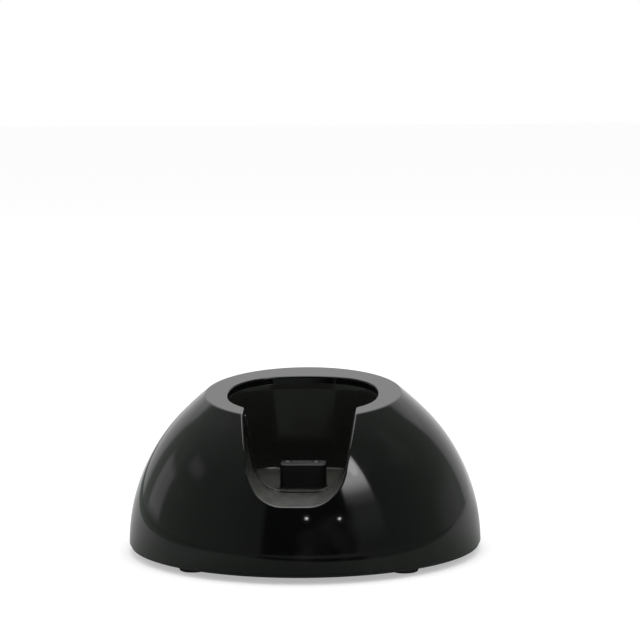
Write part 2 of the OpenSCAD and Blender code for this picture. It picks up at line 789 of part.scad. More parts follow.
module choke() {
    size = [6, 6, 3.2];
    well_r = 2.2;
    well_depth = 0.5;
    core_r = 1.8;
    color("#3b3b3e") translate([column_x, tall_row_y, board_top_z]) {
        difference() {
            linear_extrude(size[2]) rounded_plate(size[0], size[1], 1);
            translate([0, 0, size[2] - well_depth]) cylinder(r = well_r, h = over);
        }
        cylinder(r = core_r, h = size[2]);
    }
}

module charge_controller() {
    body = [4, 5, 1.5];
    leg = [1.2, 0.4, 0.2];
    leg_out = 0.5;
    pitch = 1.27;
    stand_off = 0.1;
    color("#1b1c1e") translate([-column_x, controller_y, board_top_z]) {
        translate([-body[0] / 2, -body[1] / 2, stand_off]) cube(body);
        for (s = [-1, 1], i = [0:3])
            translate([s * (body[0] / 2 + leg_out) - leg[0] / 2, (i - 1.5) * pitch - leg[1] / 2, 0])
                cube(leg);
    }
}

module diode() {
    body = [4.2, 2.6, 2];
    tab = [1.2, 1.4, 0.3];
    stand_off = 0.1;
    color("#1b1c1e") translate([0, diode_y, board_top_z]) {
        translate([-body[0] / 2, -body[1] / 2, stand_off]) cube(body);
        for (s = [-1, 1]) translate([s * body[0] / 2 - tab[0] / 2, -tab[1] / 2, 0]) cube(tab);
    }
}

module chip_resistors() {
    chip = [2, 1.2, 0.6];
    pitch = 1.9;
    color("#27282b") for (i = [0:3])
        translate([column_x - chip[0] / 2, resistor_y + pitch * i, board_top_z]) cube(chip);
}

// Base plate with what is fixed to it

module ballast_plate() {
    color("#8a8d91") difference() {
        translate([0, ballast_y, base_top_z]) linear_extrude(ballast_t)
            rounded_plate(ballast_w, ballast_l, ballast_corner_r);
        for (p = ballast_screws_at) translate([p[0], p[1], base_top_z - over]) {
            cylinder(r = ballast_boss_r + fit_gap, h = over + ballast_boss_h + fit_gap);
            cylinder(r = ballast_screw_d / 2 + fit_gap, h = far);
        }
    }
}

module ballast_screws() {
    color("silver") for (p = ballast_screws_at) translate([p[0], p[1], ballast_top_z])
        rotate([180, 0, 0])
            screw_up(ballast_screw_d, ballast_top_z - base_z - plate_skin - hole_spare,
                     ballast_screw_head_d, ballast_screw_head_h);
}

module base_plate() {
    color("#111214") difference() {
        union() {
            translate([0, 0, base_z]) {
                cylinder(r = base_r - base_lip_in, h = base_lip_t);
                cylinder(r = spigot_r, h = base_t);
            }
            for (p = base_screws_at) translate([p[0], p[1], base_z + base_t / 2])
                cylinder(r = base_screw_pad_r, h = base_t / 2 + base_screw_pad_h);
            for (p = board_screws_at) translate([p[0], p[1], base_z + base_t / 2])
                cylinder(r = standoff_r, h = base_t / 2 + standoff_h);
            for (p = ballast_screws_at) translate([p[0], p[1], base_z + base_t / 2])
                cylinder(r = ballast_boss_r, h = base_t / 2 + ballast_boss_h);
        }
        for (p = base_screws_at) translate([p[0], p[1], base_z - over]) {
            cylinder(r = base_screw_head_d / 2 + base_screw_head_gap,
                     h = over + base_screw_seat_z - base_z);
            cylinder(r = base_screw_d / 2 + fit_gap, h = far);
        }
        for (p = board_screws_at) translate([p[0], p[1], base_z + plate_skin])
            cylinder(r = board_screw_d / 2 + screw_gap, h = far);
        for (p = ballast_screws_at) translate([p[0], p[1], base_z + plate_skin])
            cylinder(r = ballast_screw_d / 2 + screw_gap, h = far);
        for (p = feet) translate([p[0], p[1], base_z - over])
            cylinder(d = foot_d + 2 * fit_gap, h = over + foot_pocket);
        translate([0, recess_y, base_z - over]) linear_extrude(over + recess_depth)
            rounded_plate(recess_w, recess_l, 2);
    }
}

module base_screws() {
    color("silver") for (p = base_screws_at) translate([p[0], p[1], base_screw_seat_z])
        screw_up(base_screw_d, base_boss_z + base_screw_bite - base_screw_seat_z,
                 base_screw_head_d, base_screw_head_h);
}

module foot(i) {
    chamfer = 0.4;
    color("#232425") translate([feet[i][0], feet[i][1], 0]) {
        cylinder(d1 = foot_d - 2 * chamfer, d2 = foot_d, h = chamfer);
        translate([0, 0, chamfer]) cylinder(d = foot_d, h = foot_h + foot_pocket - chamfer);
    }
}

module foot_front_left() { foot(0); }

module foot_front_right() { foot(1); }

module foot_back_left() { foot(2); }

module foot_back_right() { foot(3); }

dome_shell();
well_liner();
liner_screws();
contact_block();
contact_pin_left();
contact_pin_right();
contact_spring_left();
contact_spring_right();
spring_seat_left();
spring_seat_right();
contact_board();
contact_board_screws();
lead_positive();
lead_negative();
lead_plug();
lead_header();
main_board();
main_board_screws();
inlet_housing();
inlet_centre_pin();
inlet_side_contact();
smoothing_capacitor();
choke();
charge_controller();
diode();
chip_resistors();
ballast_plate();
ballast_screws();
base_plate();
base_screws();
foot_front_left();
foot_front_right();
foot_back_left();
foot_back_right();
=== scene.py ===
"""Charging stand for a cordless clipper: its visible pieces, its studio and its camera."""

import logging
import math
from dataclasses import dataclass
from enum import Enum
from typing import Callable, Sequence

import bmesh
import bpy
import numpy as np
from mathutils import Matrix, Vector


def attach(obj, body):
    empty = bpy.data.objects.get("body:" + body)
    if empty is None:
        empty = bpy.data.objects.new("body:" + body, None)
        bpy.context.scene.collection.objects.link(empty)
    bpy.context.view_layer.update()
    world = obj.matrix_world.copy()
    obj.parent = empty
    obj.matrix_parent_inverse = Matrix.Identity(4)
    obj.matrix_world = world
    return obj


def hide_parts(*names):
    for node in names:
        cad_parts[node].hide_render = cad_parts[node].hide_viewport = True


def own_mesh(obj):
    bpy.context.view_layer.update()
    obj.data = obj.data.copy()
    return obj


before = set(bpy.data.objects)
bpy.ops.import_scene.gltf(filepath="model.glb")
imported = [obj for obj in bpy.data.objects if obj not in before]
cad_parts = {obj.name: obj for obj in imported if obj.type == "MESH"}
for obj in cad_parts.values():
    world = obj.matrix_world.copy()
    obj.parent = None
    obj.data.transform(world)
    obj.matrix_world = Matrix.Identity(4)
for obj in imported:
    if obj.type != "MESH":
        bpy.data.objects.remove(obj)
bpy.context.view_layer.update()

LOG = logging.getLogger("stand")
MM = 0.001
Array = np.ndarray
Field = Callable[[Array], Array]

# Radius where turned pieces close, and the searches for where surfaces meet
AXIS_R = 0.001
SEARCH_ROUNDS = 40
RIM_GUESS_Z = 46.0


# Fields and meshes


def round_max(a: Array, b: Array, r: float) -> Array:
    """Joins two distance fields by intersection, with a rounded edge.

    Args:
        a: Distances to the first surface.
        b: Distances to the second surface.
        r: Radius of the rounded edge.

    Returns:
        Distances to the rounded intersection.
    """
    u, v = np.maximum(a + r, 0.0), np.maximum(b + r, 0.0)
    return np.minimum(np.maximum(a, b), -r) + np.hypot(u, v)


def slope(points: Array, shape: Field) -> Array:
    """Finds the gradient of a distance field.

    Args:
        points: Points with their coordinates on the last axis.
        shape: Distance field.

    Returns:
        The gradient at each point.
    """
    step = 0.002
    out = np.empty_like(points)
    for axis in range(3):
        shift = np.zeros(3)
        shift[axis] = step
        out[..., axis] = (shape(points + shift) - shape(points - shift)) / (2 * step)
    return out


def settle(points: Array, shape: Field, rounds: int = 8) -> Array:
    """Moves points onto the surface of a distance field.

    Args:
        points: Points near the surface.
        shape: Distance field.
        rounds: How many times each point is moved.

    Returns:
        The points on the surface.
    """
    for _ in range(rounds):
        way = slope(points, shape)
        size = np.maximum((way**2).sum(-1, keepdims=True), 0.05)
        points = points - shape(points)[..., None] * way / size
    return points


def mesh_piece(name: str, verts: Array, faces: Sequence[Sequence[int]]) -> bpy.types.Object:
    """Makes a smooth-shaded object from points in millimetres.

    Args:
        name: Name of the piece.
        verts: Points, one a row.
        faces: Corners of each face.

    Returns:
        The new object, with its faces turned outwards.
    """
    mesh = bpy.data.meshes.new(name)
    mesh.from_pydata((np.asarray(verts, float) * MM).tolist(), [], [list(f) for f in faces])
    work = bmesh.new()
    work.from_mesh(mesh)
    bmesh.ops.recalc_face_normals(work, faces=work.faces)
    work.to_mesh(mesh)
    work.free()
    mesh.shade_smooth()
    piece = bpy.data.objects.new(name, mesh)
    bpy.context.scene.collection.objects.link(piece)
    return piece


class Ends(Enum):
    """How a stack of rings ends."""

    LOOPED = "the last ring joins the first"
    CAPPED = "each end is closed by a fan"


def ring_piece(name: str, rings: Array, ends: Ends) -> bpy.types.Object:
    """Joins a stack of closed rings into a piece of four-sided faces.

    Args:
        name: Name of the piece.
        rings: Array of rings by points by coordinates.
        ends: How the stack ends.

    Returns:
        The new object.
    """
    rows, cols = rings.shape[:2]
    verts = rings.reshape(-1, 3)
    last = rows if ends is Ends.LOOPED else rows - 1
    faces = [
        (
            i * cols + k,
            i * cols + (k + 1) % cols,
            (i + 1) % rows * cols + (k + 1) % cols,
            (i + 1) % rows * cols + k,
        )
        for i in range(last)
        for k in range(cols)
    ]
    if ends is Ends.CAPPED:
        verts = np.vstack([verts, rings[0].mean(0), rings[-1].mean(0)])
        top, low = rows * cols + 1, rows * cols
        start = (rows - 1) * cols
        for k in range(cols):
            faces.append((low, (k + 1) % cols, k))
            faces.append((top, start + k, start + (k + 1) % cols))
    return mesh_piece(name, verts, faces)


def turned_piece(
    name: str,
    profile: Sequence[tuple[float, float]],
    at: tuple[float, float],
    sides: int = 64,
) -> bpy.types.Object:
    """Turns a profile about an upright axis.

    Args:
        name: Name of the piece.
        profile: Radius and height of each ring, from one end to the other.
        at: Place of the axis.
        sides: How many sides a ring has.

    Returns:
        The new object.
    """
    turn = np.arange(sides) * 2 * math.pi / sides
    rings = [
        [(at[0] + r * math.cos(a), at[1] + r * math.sin(a), z) for a in turn] for r, z in profile
    ]
    return ring_piece(name, np.array(rings), Ends.CAPPED)


def rounded_profile(
    corners: Sequence[tuple[float, float, float]], steps: int = 5
) -> list[tuple[float, float]]:
    """Rounds the corners of a profile.

    Args:
        corners: Radius, height and rounding of each corner.
        steps: How many parts a rounded corner has.

    Returns:
        The points of the rounded profile.
    """
    out: list[tuple[float, float]] = []
    count = len(corners)
    for i, (x, z, r) in enumerate(corners):
        if r <= 0 or i in (0, count - 1):
            out.append((x, z))
            continue
        here = np.array([x, z])
        before = np.array(corners[i - 1][:2]) - here
        after = np.array(corners[i + 1][:2]) - here
        before, after = before / np.linalg.norm(before), after / np.linalg.norm(after)
        for k in range(steps + 1):
            t = k / steps
            spot = here + before * r * (1 - t) ** 2 + after * r * t**2
            out.append((float(spot[0]), float(spot[1])))
    return out


def field_normals(piece: bpy.types.Object, shape: Field, near: float = 0.05) -> None:
    """Gives a mesh the exact normals of the field that it was made from, where it lies on it.

    Args:
        piece: Object whose mesh lies on the field's surface.
        shape: Distance field in millimetres.
        near: How far from the surface a point still counts as on it.
    """
    same_way, nearly_flat = 0.55, 0.8
    mesh = piece.data
    count = len(mesh.vertices)
    spots = np.empty(count * 3)
    mesh.vertices.foreach_get("co", spots)
    spots = spots.reshape(-1, 3) / MM
    exact = slope(spots, shape)
    exact /= np.maximum(np.linalg.norm(exact, axis=1, keepdims=True), 1e-9)
    on = np.abs(shape(spots)) < near
    corner_vert = np.empty(len(mesh.loops), int)
    mesh.loops.foreach_get("vertex_index", corner_vert)
    flat = np.empty(len(mesh.polygons) * 3)
    mesh.polygons.foreach_get("normal", flat)
    sizes = np.empty(len(mesh.polygons), int)
    mesh.polygons.foreach_get("loop_total", sizes)
    face_normal = np.repeat(flat.reshape(-1, 3), sizes, axis=0)
    soft = np.empty(len(mesh.loops) * 3)
    mesh.corner_normals.foreach_get("vector", soft)
    soft = soft.reshape(-1, 3)
    wanted = exact[corner_vert]
    agree = (wanted * face_normal).sum(1)
    use = on[corner_vert] & (agree > same_way)
    off = ~use & ((soft * face_normal).sum(1) < nearly_flat)
    normals = np.where(use[:, None], wanted, np.where(off[:, None], face_normal, soft))
    mesh.normals_split_custom_set(normals.tolist())


def apply_modifiers(piece: bpy.types.Object) -> None:
    """Turns a piece's modifiers into plain mesh.

    Args:
        piece: Object with modifiers.
    """
    depsgraph = bpy.context.evaluated_depsgraph_get()
    solid = bpy.data.meshes.new_from_object(piece.evaluated_get(depsgraph))
    piece.modifiers.clear()
    old = piece.data
    piece.data = solid
    bpy.data.meshes.remove(old)


def carve(piece: bpy.types.Object, cutter: bpy.types.Object) -> None:
    """Cuts one piece out of another and removes the cutter.

    Args:
        piece: Object that is cut.
        cutter: Object that cuts.
    """
    cut = piece.modifiers.new("cut", "BOOLEAN")
    cut.operation = "DIFFERENCE"
    cut.solver = "EXACT"
    cut.object = cutter
    bpy.context.view_layer.update()
    apply_modifiers(piece)
    bpy.data.objects.remove(cutter)
    piece.data.shade_smooth()


def sharpen(piece: bpy.types.Object, degrees: float) -> None:
    """Keeps edges crisp where faces meet at more than an angle."""
    piece.data.set_sharp_from_angle(angle=math.radians(degrees))


# Forms that the moulded parts share


@dataclass(frozen=True)
class Section:
    """The dome's section: a round side that runs into a flatter arc near the rim."""

    foot_r: float = 55.5
    foot_z: float = 2.7
    side_r: float = 57.6
    side_z: float = 2.7
    join_z: float = 43.8
    top_r: float = 120.0

    @property
    def side_x(self) -> float:
        """Radial place of the side arc's centre."""
        return self.foot_r - math.sqrt(self.side_r**2 - (self.foot_z - self.side_z) ** 2)

    @property
    def lean(self) -> tuple[float, float]:
        """Direction from the arcs' centres to the point where they meet."""
        up = (self.join_z - self.side_z) / self.side_r
        return math.sqrt(1 - up * up), up

    @property
    def join_x(self) -> float:
        """Radial place of the point where the arcs meet."""
        return self.side_x + self.side_r * self.lean[0]

    @property
    def top(self) -> tuple[float, float]:
        """Radial place and height of the flatter arc's centre."""
        out, up = self.lean
        return self.join_x - self.top_r * out, self.join_z - self.top_r * up

    def radius(self, z: Array) -> Array:
        """Finds the dome's radius at a height.

        Args:
            z: Heights.

        Returns:
            The radius at each height.
        """
        top_x, top_z = self.top
        low = self.side_x + np.sqrt(np.maximum(self.side_r**2 - (z - self.side_z) ** 2, 0))
        high = top_x + np.sqrt(np.maximum(self.top_r**2 - (z - top_z) ** 2, 0))
        return np.where(z < self.join_z, low, high)

    def distance(self, points: Array) -> Array:
        """Finds how far points lie outside the dome.

        Args:
            points: Points in the part's frame.

        Returns:
            Signed distances.
        """
        out, up = self.lean
        rho, z = np.hypot(points[..., 0], points[..., 1]), points[..., 2]
        above = (z - self.join_z) * out - (rho - self.join_x) * up > 0
        low = np.hypot(rho - self.side_x, z - self.side_z) - self.side_r
        top_x, top_z = self.top
        high = np.hypot(rho - top_x, z - top_z) - self.top_r
        return np.where(above, high, low)


@dataclass(frozen=True)
class RimPlane:
    """The plane of the rim, which tilts towards the front."""

    axis_z: float = 50.9
    tilt: float = 7.4
    thickness: float = 2.2

    @property
    def rise(self) -> float:
        """Rise of the plane for each millimetre towards the back."""
        return math.tan(math.radians(self.tilt))

    def height(self, y: Array, sink: float = 0.0) -> Array:
        """Finds the height of the plane, or of one that lies under it.

        Args:
            y: Places along Y.
            sink: Distance of the lower plane, square to the rim.

        Returns:
            The heights.
        """
        return self.axis_z + y * self.rise - sink / math.cos(math.radians(self.tilt))

    def distance(self, points: Array, sink: float = 0.0) -> Array:
        """Finds how far points lie above the plane, or above one that lies under it.

        Args:
            points: Points in the part's frame.
            sink: Distance of the lower plane.

        Returns:
            Signed distances.
        """
        gap = points[..., 2] - self.height(points[..., 1], sink)
        return gap * math.cos(math.radians(self.tilt))


@dataclass(frozen=True)
class WellOutline:
    """The well seen from above: long and short arcs that run into round corners."""

    width: float = 46.4
    length: float = 41.1
    y: float = -6.6
    long_r: float = 45.0
    short_r: float = 30.0
    corner_r: float = 17.5

    def centres(self) -> tuple[Array, Array, Array]:
        """Finds the centres of the long, the short and the corner arc of one quarter.

        Returns:
            The three centres, from the well's middle.
        """
        long_c = np.array([0.0, self.length / 2 - self.long_r])
        short_c = np.array([self.width / 2 - self.short_r, 0.0])
        a, b = self.long_r - self.corner_r, self.short_r - self.corner_r
        gap = float(np.linalg.norm(short_c - long_c))
        along = (a * a - b * b + gap * gap) / (2 * gap)
        aside = math.sqrt(a * a - along * along)
        way = (short_c - long_c) / gap
        return long_c, short_c, long_c + along * way + aside * np.array([way[1], -way[0]])

    def distance(self, x: Array, y: Array) -> Array:
        """Finds how far points lie outside the outline.

        Args:
            x: Places along X.
            y: Places along Y.

        Returns:
            Signed distances.
        """
        long_c, short_c, corner_c = self.centres()
        px, py = np.abs(x), np.abs(y - self.y)

        def side(start: Array) -> Array:
            """Tells on which side of the line from an arc's to the corner's centre points lie."""
            way = corner_c - start
            return way[0] * (py - start[1]) - way[1] * (px - start[0])

        def arc(middle: Array, r: float) -> Array:
            """Finds how far points lie outside an arc."""
            return np.hypot(px - middle[0], py - middle[1]) - r

        round_or_short = np.where(
            side(short_c) < 0, arc(short_c, self.short_r), arc(corner_c, self.corner_r)
        )
        return np.where(side(long_c) > 0, arc(long_c, self.long_r), round_or_short)

    def reach(self, turn: Array, grow: float) -> Array:
        """Finds where rays from the well's middle cross the outline.

        Args:
            turn: Angles of the rays, from the front towards +X.
            grow: How much wider than the well the outline is.

        Returns:
            Points along X and Y.
        """
        way = np.stack([np.sin(turn), -np.cos(turn)], -1)
        far = np.full(turn.shape, self.length / 2 + grow)
        pace = 0.9
        for _ in range(SEARCH_ROUNDS):
            spot = way * far[:, None]
            far = far + pace * (grow - self.distance(spot[:, 0], spot[:, 1] + self.y))
        return way * far[:, None] + np.array([0.0, self.y])

    def half(self, grow: float) -> tuple[Array, Array]:
        """Walks along the outline's right half, from the front to the back.

        Args:
            grow: How much wider than the well the outline is.

        Returns:
            The length walked, and the point reached after it.
        """
        points = 1441
        spots = self.reach(np.linspace(0, math.pi, points), grow)
        spots[0, 0] = spots[-1, 0] = 0.0
        steps = np.linalg.norm(np.diff(spots, axis=0), axis=1)
        return np.concatenate([[0.0], np.cumsum(steps)]), spots

    def front_y(self, x: Array, grow: float) -> Array:
        """Finds where lines along Y cross the outline's front half.

        Args:
            x: Places along X.
            grow: How much wider than the well the outline is.

        Returns:
            Places along Y.
        """
        _, spots = self.half(grow)
        front = spots[: int(spots[:, 0].argmax()) + 1]
        return np.interp(np.abs(x), front[:, 0], front[:, 1])


@dataclass(frozen=True)
class NotchOutline:
    """The notch seen from the front: leaning sides, round lower corners and a level sill."""

    sill_w: float = 26.2
    sill_z: float = 22.6
    lean: float = 9.0
    corner_r: float = 9.0

    @property
    def way(self) -> tuple[float, float]:
        """Cosine and sine of the sides' lean."""
        return math.cos(math.radians(self.lean)), math.sin(math.radians(self.lean))

    def parts(self, grow: float) -> tuple[float, float, float, float, float]:
        """Works out the outline, widened by a margin.

        Args:
            grow: Margin.

        Returns:
            Reach of the sides, corner centre along X and Z, corner radius and sill height.
        """
        c, s = self.way
        reach = self.sill_w / 2 * c - self.sill_z * s
        mid_z = self.sill_z + self.corner_r
        mid_x = (reach - self.corner_r + mid_z * s) / c
        return reach + grow, mid_x, mid_z, self.corner_r + grow, self.sill_z - grow

    def distance(self, x: Array, z: Array, grow: float = 0.0) -> Array:
        """Finds how far points lie outside the notch.

        Args:
            x: Places along X.
            z: Heights.
            grow: Margin.

        Returns:
            Signed distances.
        """
        reach, _, _, radius, low = self.parts(grow)
        c, s = self.way
        return round_max(np.abs(x) * c - z * s - reach, low - z, radius)

    def side_x(self, z: Array, grow: float = 0.0) -> Array:
        """Finds the place of the right side at a height above the round corner."""
        reach = self.parts(grow)[0]
        c, s = self.way
        return (reach + z * s) / c

    def bends(self, grow: float = 0.0) -> tuple[float, float]:
        """Gives the lengths from the sill's middle to both ends of the round corner."""
        _, mid_x, _, radius, _ = self.parts(grow)
        return mid_x, mid_x + radius * math.radians(90 - self.lean)

    def walk(self, along: Array, grow: float = 0.0) -> tuple[Array, Array]:
        """Walks along the right half of the outline, from the sill's middle upwards.

        Args:
            along: Lengths walked.
            grow: Margin.

        Returns:
            The places reached, and the direction out of the notch there.
        """
        _, mid_x, mid_z, radius, low = self.parts(grow)
        bend, straight = self.bends(grow)
        c, s = self.way
        turn = np.clip((along - bend) / radius, 0, math.radians(90 - self.lean))
        out = np.stack([np.sin(turn), -np.cos(turn)], -1)
        spot = np.stack([mid_x + radius * out[:, 0], mid_z + radius * out[:, 1]], -1)
        flat = np.stack([along, np.full_like(along, low)], -1)
        extra = np.maximum(along - straight, 0)[:, None] * np.array([s, c])
        return np.where((along < bend)[:, None], flat, spot + extra), out


def graded(length: float, fine: float, coarse: float, both: bool = False) -> Array:
    """Splits a length into steps that grow from its start, or from both of its ends.

    Args:
        length: Length to split.
        fine: First step.
        coarse: Largest step.
        both: Whether the last steps are fine as well.

    Returns:
        Places from 0 to the length.
    """
    growth = 1.35
    places, step = [0.0], fine
    half = length / 2 if both else length
    while places[-1] < half:
        places.append(places[-1] + step)
        step = min(step * growth, coarse)
    out = np.array(places) * half / places[-1]
    return np.concatenate([out, length - out[-2::-1]]) if both else out


def mirrored(half: Array) -> Array:
    """Completes rings whose points run from the front to the back on the right side only.

    Args:
        half: Array of rings by points by coordinates.

    Returns:
        The whole rings.
    """
    other = half[:, -2:0:-1].copy()
    other[..., 0] *= -1
    return np.concatenate([half, other], 1)


class RingStack:
    """Half rings in their order, and which of their points lie on a field's surface."""

    def __init__(self) -> None:
        """Starts with no rings."""
        self.rows: list[Array] = []
        self.masks: list[Array] = []

    def add(self, points: Array, on: Array) -> None:
        """Adds a ring.

        Args:
            points: Its points, from the front to the back on the right side.
            on: Which of them lie on the field's surface.
        """
        self.rows.append(points)
        self.masks.append(on)

    def whole(self, shape: Field) -> Array:
        """Settles the rings on a field's surface and adds their left halves.

        Args:
            shape: Distance field.

        Returns:
            Rings by points by coordinates.
        """
        half, on = np.array(self.rows), np.array(self.masks)
        half = np.where(on[..., None], settle(half, shape), half)
        half[:, (0, -1), 0] = 0.0
        return mirrored(half)


def on_path(at: Array, walk: Array, spots: Array) -> Array:
    """Finds points of an outline by the length walked.

    Args:
        at: Lengths at which points are wanted.
        walk: Length walked to each point of the outline.
        spots: Points of the outline.

    Returns:
        The points.
    """
    return np.stack([np.interp(at, walk, spots[:, k]) for k in (0, 1)], -1)


def walked_to(x: Array | float, walk: Array, spots: Array) -> Array:
    """Finds the length walked to places along X, in the outline's first third.

    Args:
        x: Places along X.
        walk: Length walked to each point of the outline.
        spots: Points of the outline.

    Returns:
        The lengths.
    """
    third = len(spots) // 3
    return np.interp(x, spots[:third, 0], walk[:third])


SECTION = Section()
RIM = RimPlane()
WELL = WellOutline()
NOTCH = NotchOutline()
WELL_FLOOR = 23.0
OPENING_GAP = 0.3


# Finishes


class Curve(Enum):
    """How a value is mapped from one range to another, in Blender's words."""

    STRAIGHT = "LINEAR"
    SMOOTH = "SMOOTHSTEP"


class NodeSums:
    """Short ways to add sums to a node tree."""

    def __init__(self, tree: bpy.types.NodeTree) -> None:
        """Starts in a node tree.

        Args:
            tree: The node tree.
        """
        self.nodes, self.links = tree.nodes, tree.links

    def node(self, kind: str, a: object, b: object = 0.0) -> object:
        """Adds a math node.

        Args:
            kind: Blender's name of the sum.
            a: First value, a socket or a number.
            b: Second value, a socket or a number.

        Returns:
            The result.
        """
        node = self.nodes.new("ShaderNodeMath")
        node.operation = kind
        for socket, value in zip(node.inputs, (a, b)):
            if isinstance(value, (int, float)):
                socket.default_value = value
            else:
                self.links.new(value, socket)
        return node.outputs[0]

    def sum(self, a: object, b: object) -> object:
        """Adds two values."""
        return self.node("ADD", a, b)

    def times(self, a: object, b: object) -> object:
        """Multiplies two values."""
        return self.node("MULTIPLY", a, b)

    def ramp(
        self, source: object, span: tuple, values: tuple, curve: Curve = Curve.STRAIGHT
    ) -> object:
        """Maps a value from one range to another, and keeps it inside.

        Args:
            source: Value that is mapped.
            span: Range of the source.
            values: Range of the result.
            curve: How it is mapped.

        Returns:
            The mapped value.
        """
        node = self.nodes.new("ShaderNodeMapRange")
        node.interpolation_type = curve.value
        self.links.new(source, node.inputs["Value"])
        for key, value in zip(("From Min", "From Max", "To Min", "To Max"), span + values):
            node.inputs[key].default_value = value
        return node.outputs["Result"]

    def parts(self, kind: str) -> list:
        """Gives the three parts of a place or direction, by Blender's name of it."""
        split = self.nodes.new("ShaderNodeSeparateXYZ")
        self.links.new(self.nodes.new("ShaderNodeTexCoord").outputs[kind], split.inputs[0])
        return list(split.outputs)


class Shading(NodeSums):
    """The nodes of one finish: its principled shader and what feeds it."""

    def __init__(self, tree: bpy.types.NodeTree) -> None:
        """Starts in a material's node tree.

        Args:
            tree: The node tree.
        """
        super().__init__(tree)
        self.shader = self.nodes["Principled BSDF"]
        self.where = self.nodes.new("ShaderNodeTexCoord").outputs["Object"]

    def set(self, **values: object) -> None:
        """Sets sockets of the shader by name, with underscores for spaces."""
        for key, value in values.items():
            self.shader.inputs[key.replace("_", " ")].default_value = value

    def feed(self, socket: str, source: object) -> None:
        """Links a value or colour to one of the shader's sockets."""
        self.links.new(source, self.shader.inputs[socket])

    def noise(self, scale: float, detail: float = 3.0, stretch: tuple = (1, 1, 1)) -> object:
        """Adds a noise texture in object space.

        Args:
            scale: Features to a metre.
            detail: Layers of finer noise.
            stretch: How much finer the noise is along each axis.

        Returns:
            The texture's value.
        """
        texture = self.nodes.new("ShaderNodeTexNoise")
        texture.inputs["Scale"].default_value = scale
        texture.inputs["Detail"].default_value = detail
        mapping = self.nodes.new("ShaderNodeMapping")
        mapping.inputs["Scale"].default_value = stretch
        self.links.new(self.where, mapping.inputs["Vector"])
        self.links.new(mapping.outputs["Vector"], texture.inputs["Vector"])
        return texture.outputs["Fac"]

    def specks(self, scale: float, size: float) -> object:
        """Adds small round specks that lie far apart.

        Args:
            scale: Cells to a metre.
            size: Radius of a speck as a share of its cell.

        Returns:
            A value of one inside a speck and zero outside.
        """
        cells = self.nodes.new("ShaderNodeTexVoronoi")
        cells.inputs["Scale"].default_value = scale
        self.links.new(self.where, cells.inputs["Vector"])
        return self.ramp(cells.outputs["Distance"], (0.0, size), (1.0, 0.0))

    def blend(self, source: object, low: object, high: tuple) -> object:
        """Blends two colours by a value.

        Args:
            source: Value from zero to one.
            low: Colour at zero, as numbers or as another node's colour.
            high: Colour at one.

        Returns:
            The blended colour.
        """
        node = self.nodes.new("ShaderNodeMix")
        node.data_type = "RGBA"
        start, end = (s for s in node.inputs if s.type == "RGBA")
        if isinstance(low, tuple):
            start.default_value = (*low, 1)
        else:
            self.links.new(low, start)
        end.default_value = (*high, 1)
        self.links.new(source, node.inputs["Factor"])
        return next(s for s in node.outputs if s.type == "RGBA")

    def bump(self, *layers: tuple) -> None:
        """Adds bumps, each a height value, a strength and a depth in metres."""
        before = None
        for height, strength, depth in layers:
            node = self.nodes.new("ShaderNodeBump")
            node.inputs["Strength"].default_value = strength
            node.inputs["Distance"].default_value = depth
            self.links.new(height, node.inputs["Height"])
            if before is not None:
                self.links.new(before, node.inputs["Normal"])
            before = node.outputs["Normal"]
        self.feed("Normal", before)


def shade(colour: tuple, share: float) -> tuple:
    """Makes a colour darker or paler, up to white.

    Args:
        colour: The colour.
        share: Below one for darker, above one for paler.

    Returns:
        The new colour.
    """
    return tuple(min(1.0, c * share) for c in colour)


class Finish:
    """What all finishes share: the name of their slot and how their material is made."""

    slot: str

    def build(self, name: str) -> bpy.types.Material:
        """Makes the material.

        Args:
            name: Name of the material.

        Returns:
            The material, with its nodes.
        """
        material = bpy.data.materials.new(name)
        material.use_nodes = True
        self.dress(Shading(material.node_tree))
        return material

    def dress(self, on: Shading) -> None:
        """Sets the material's nodes. Each finish has its own."""
        raise NotImplementedError


class Axis(Enum):
    """The part's axes that a satin face can look along, by their place in a vector."""

    Y = 1
    Z = 2


@dataclass(frozen=True)
class SatinZone:
    """Where a moulding is satin and paler: on faces along one axis, low down and in front. The
    paler colour is dust in the well and the notch's channel, and a painted highlight on the block's
    top.

    Faces are told by the squared share of the axis in their direction, from not satin to
    fully satin. Heights and depths are in metres, from fully satin to not at all.
    """

    colour: tuple
    facing: Axis
    faces: tuple
    heights: tuple
    depths: tuple = (1.0, 1.1)
    rough: float = 0.45

    def share(self, on: Shading) -> object:
        """Gives how much of the zone a point has.

        Args:
            on: The material's nodes.

        Returns:
            A value from zero to one.
        """
        place, way = on.parts("Object"), on.parts("Normal")
        facing = way[self.facing.value]
        faces = on.ramp(on.times(facing, facing), self.faces, (0.0, 1.0))
        heights = on.ramp(place[2], self.heights, (1.0, 0.0))
        depths = on.ramp(place[1], self.depths, (1.0, 0.0))
        return on.times(on.times(faces, heights), depths)


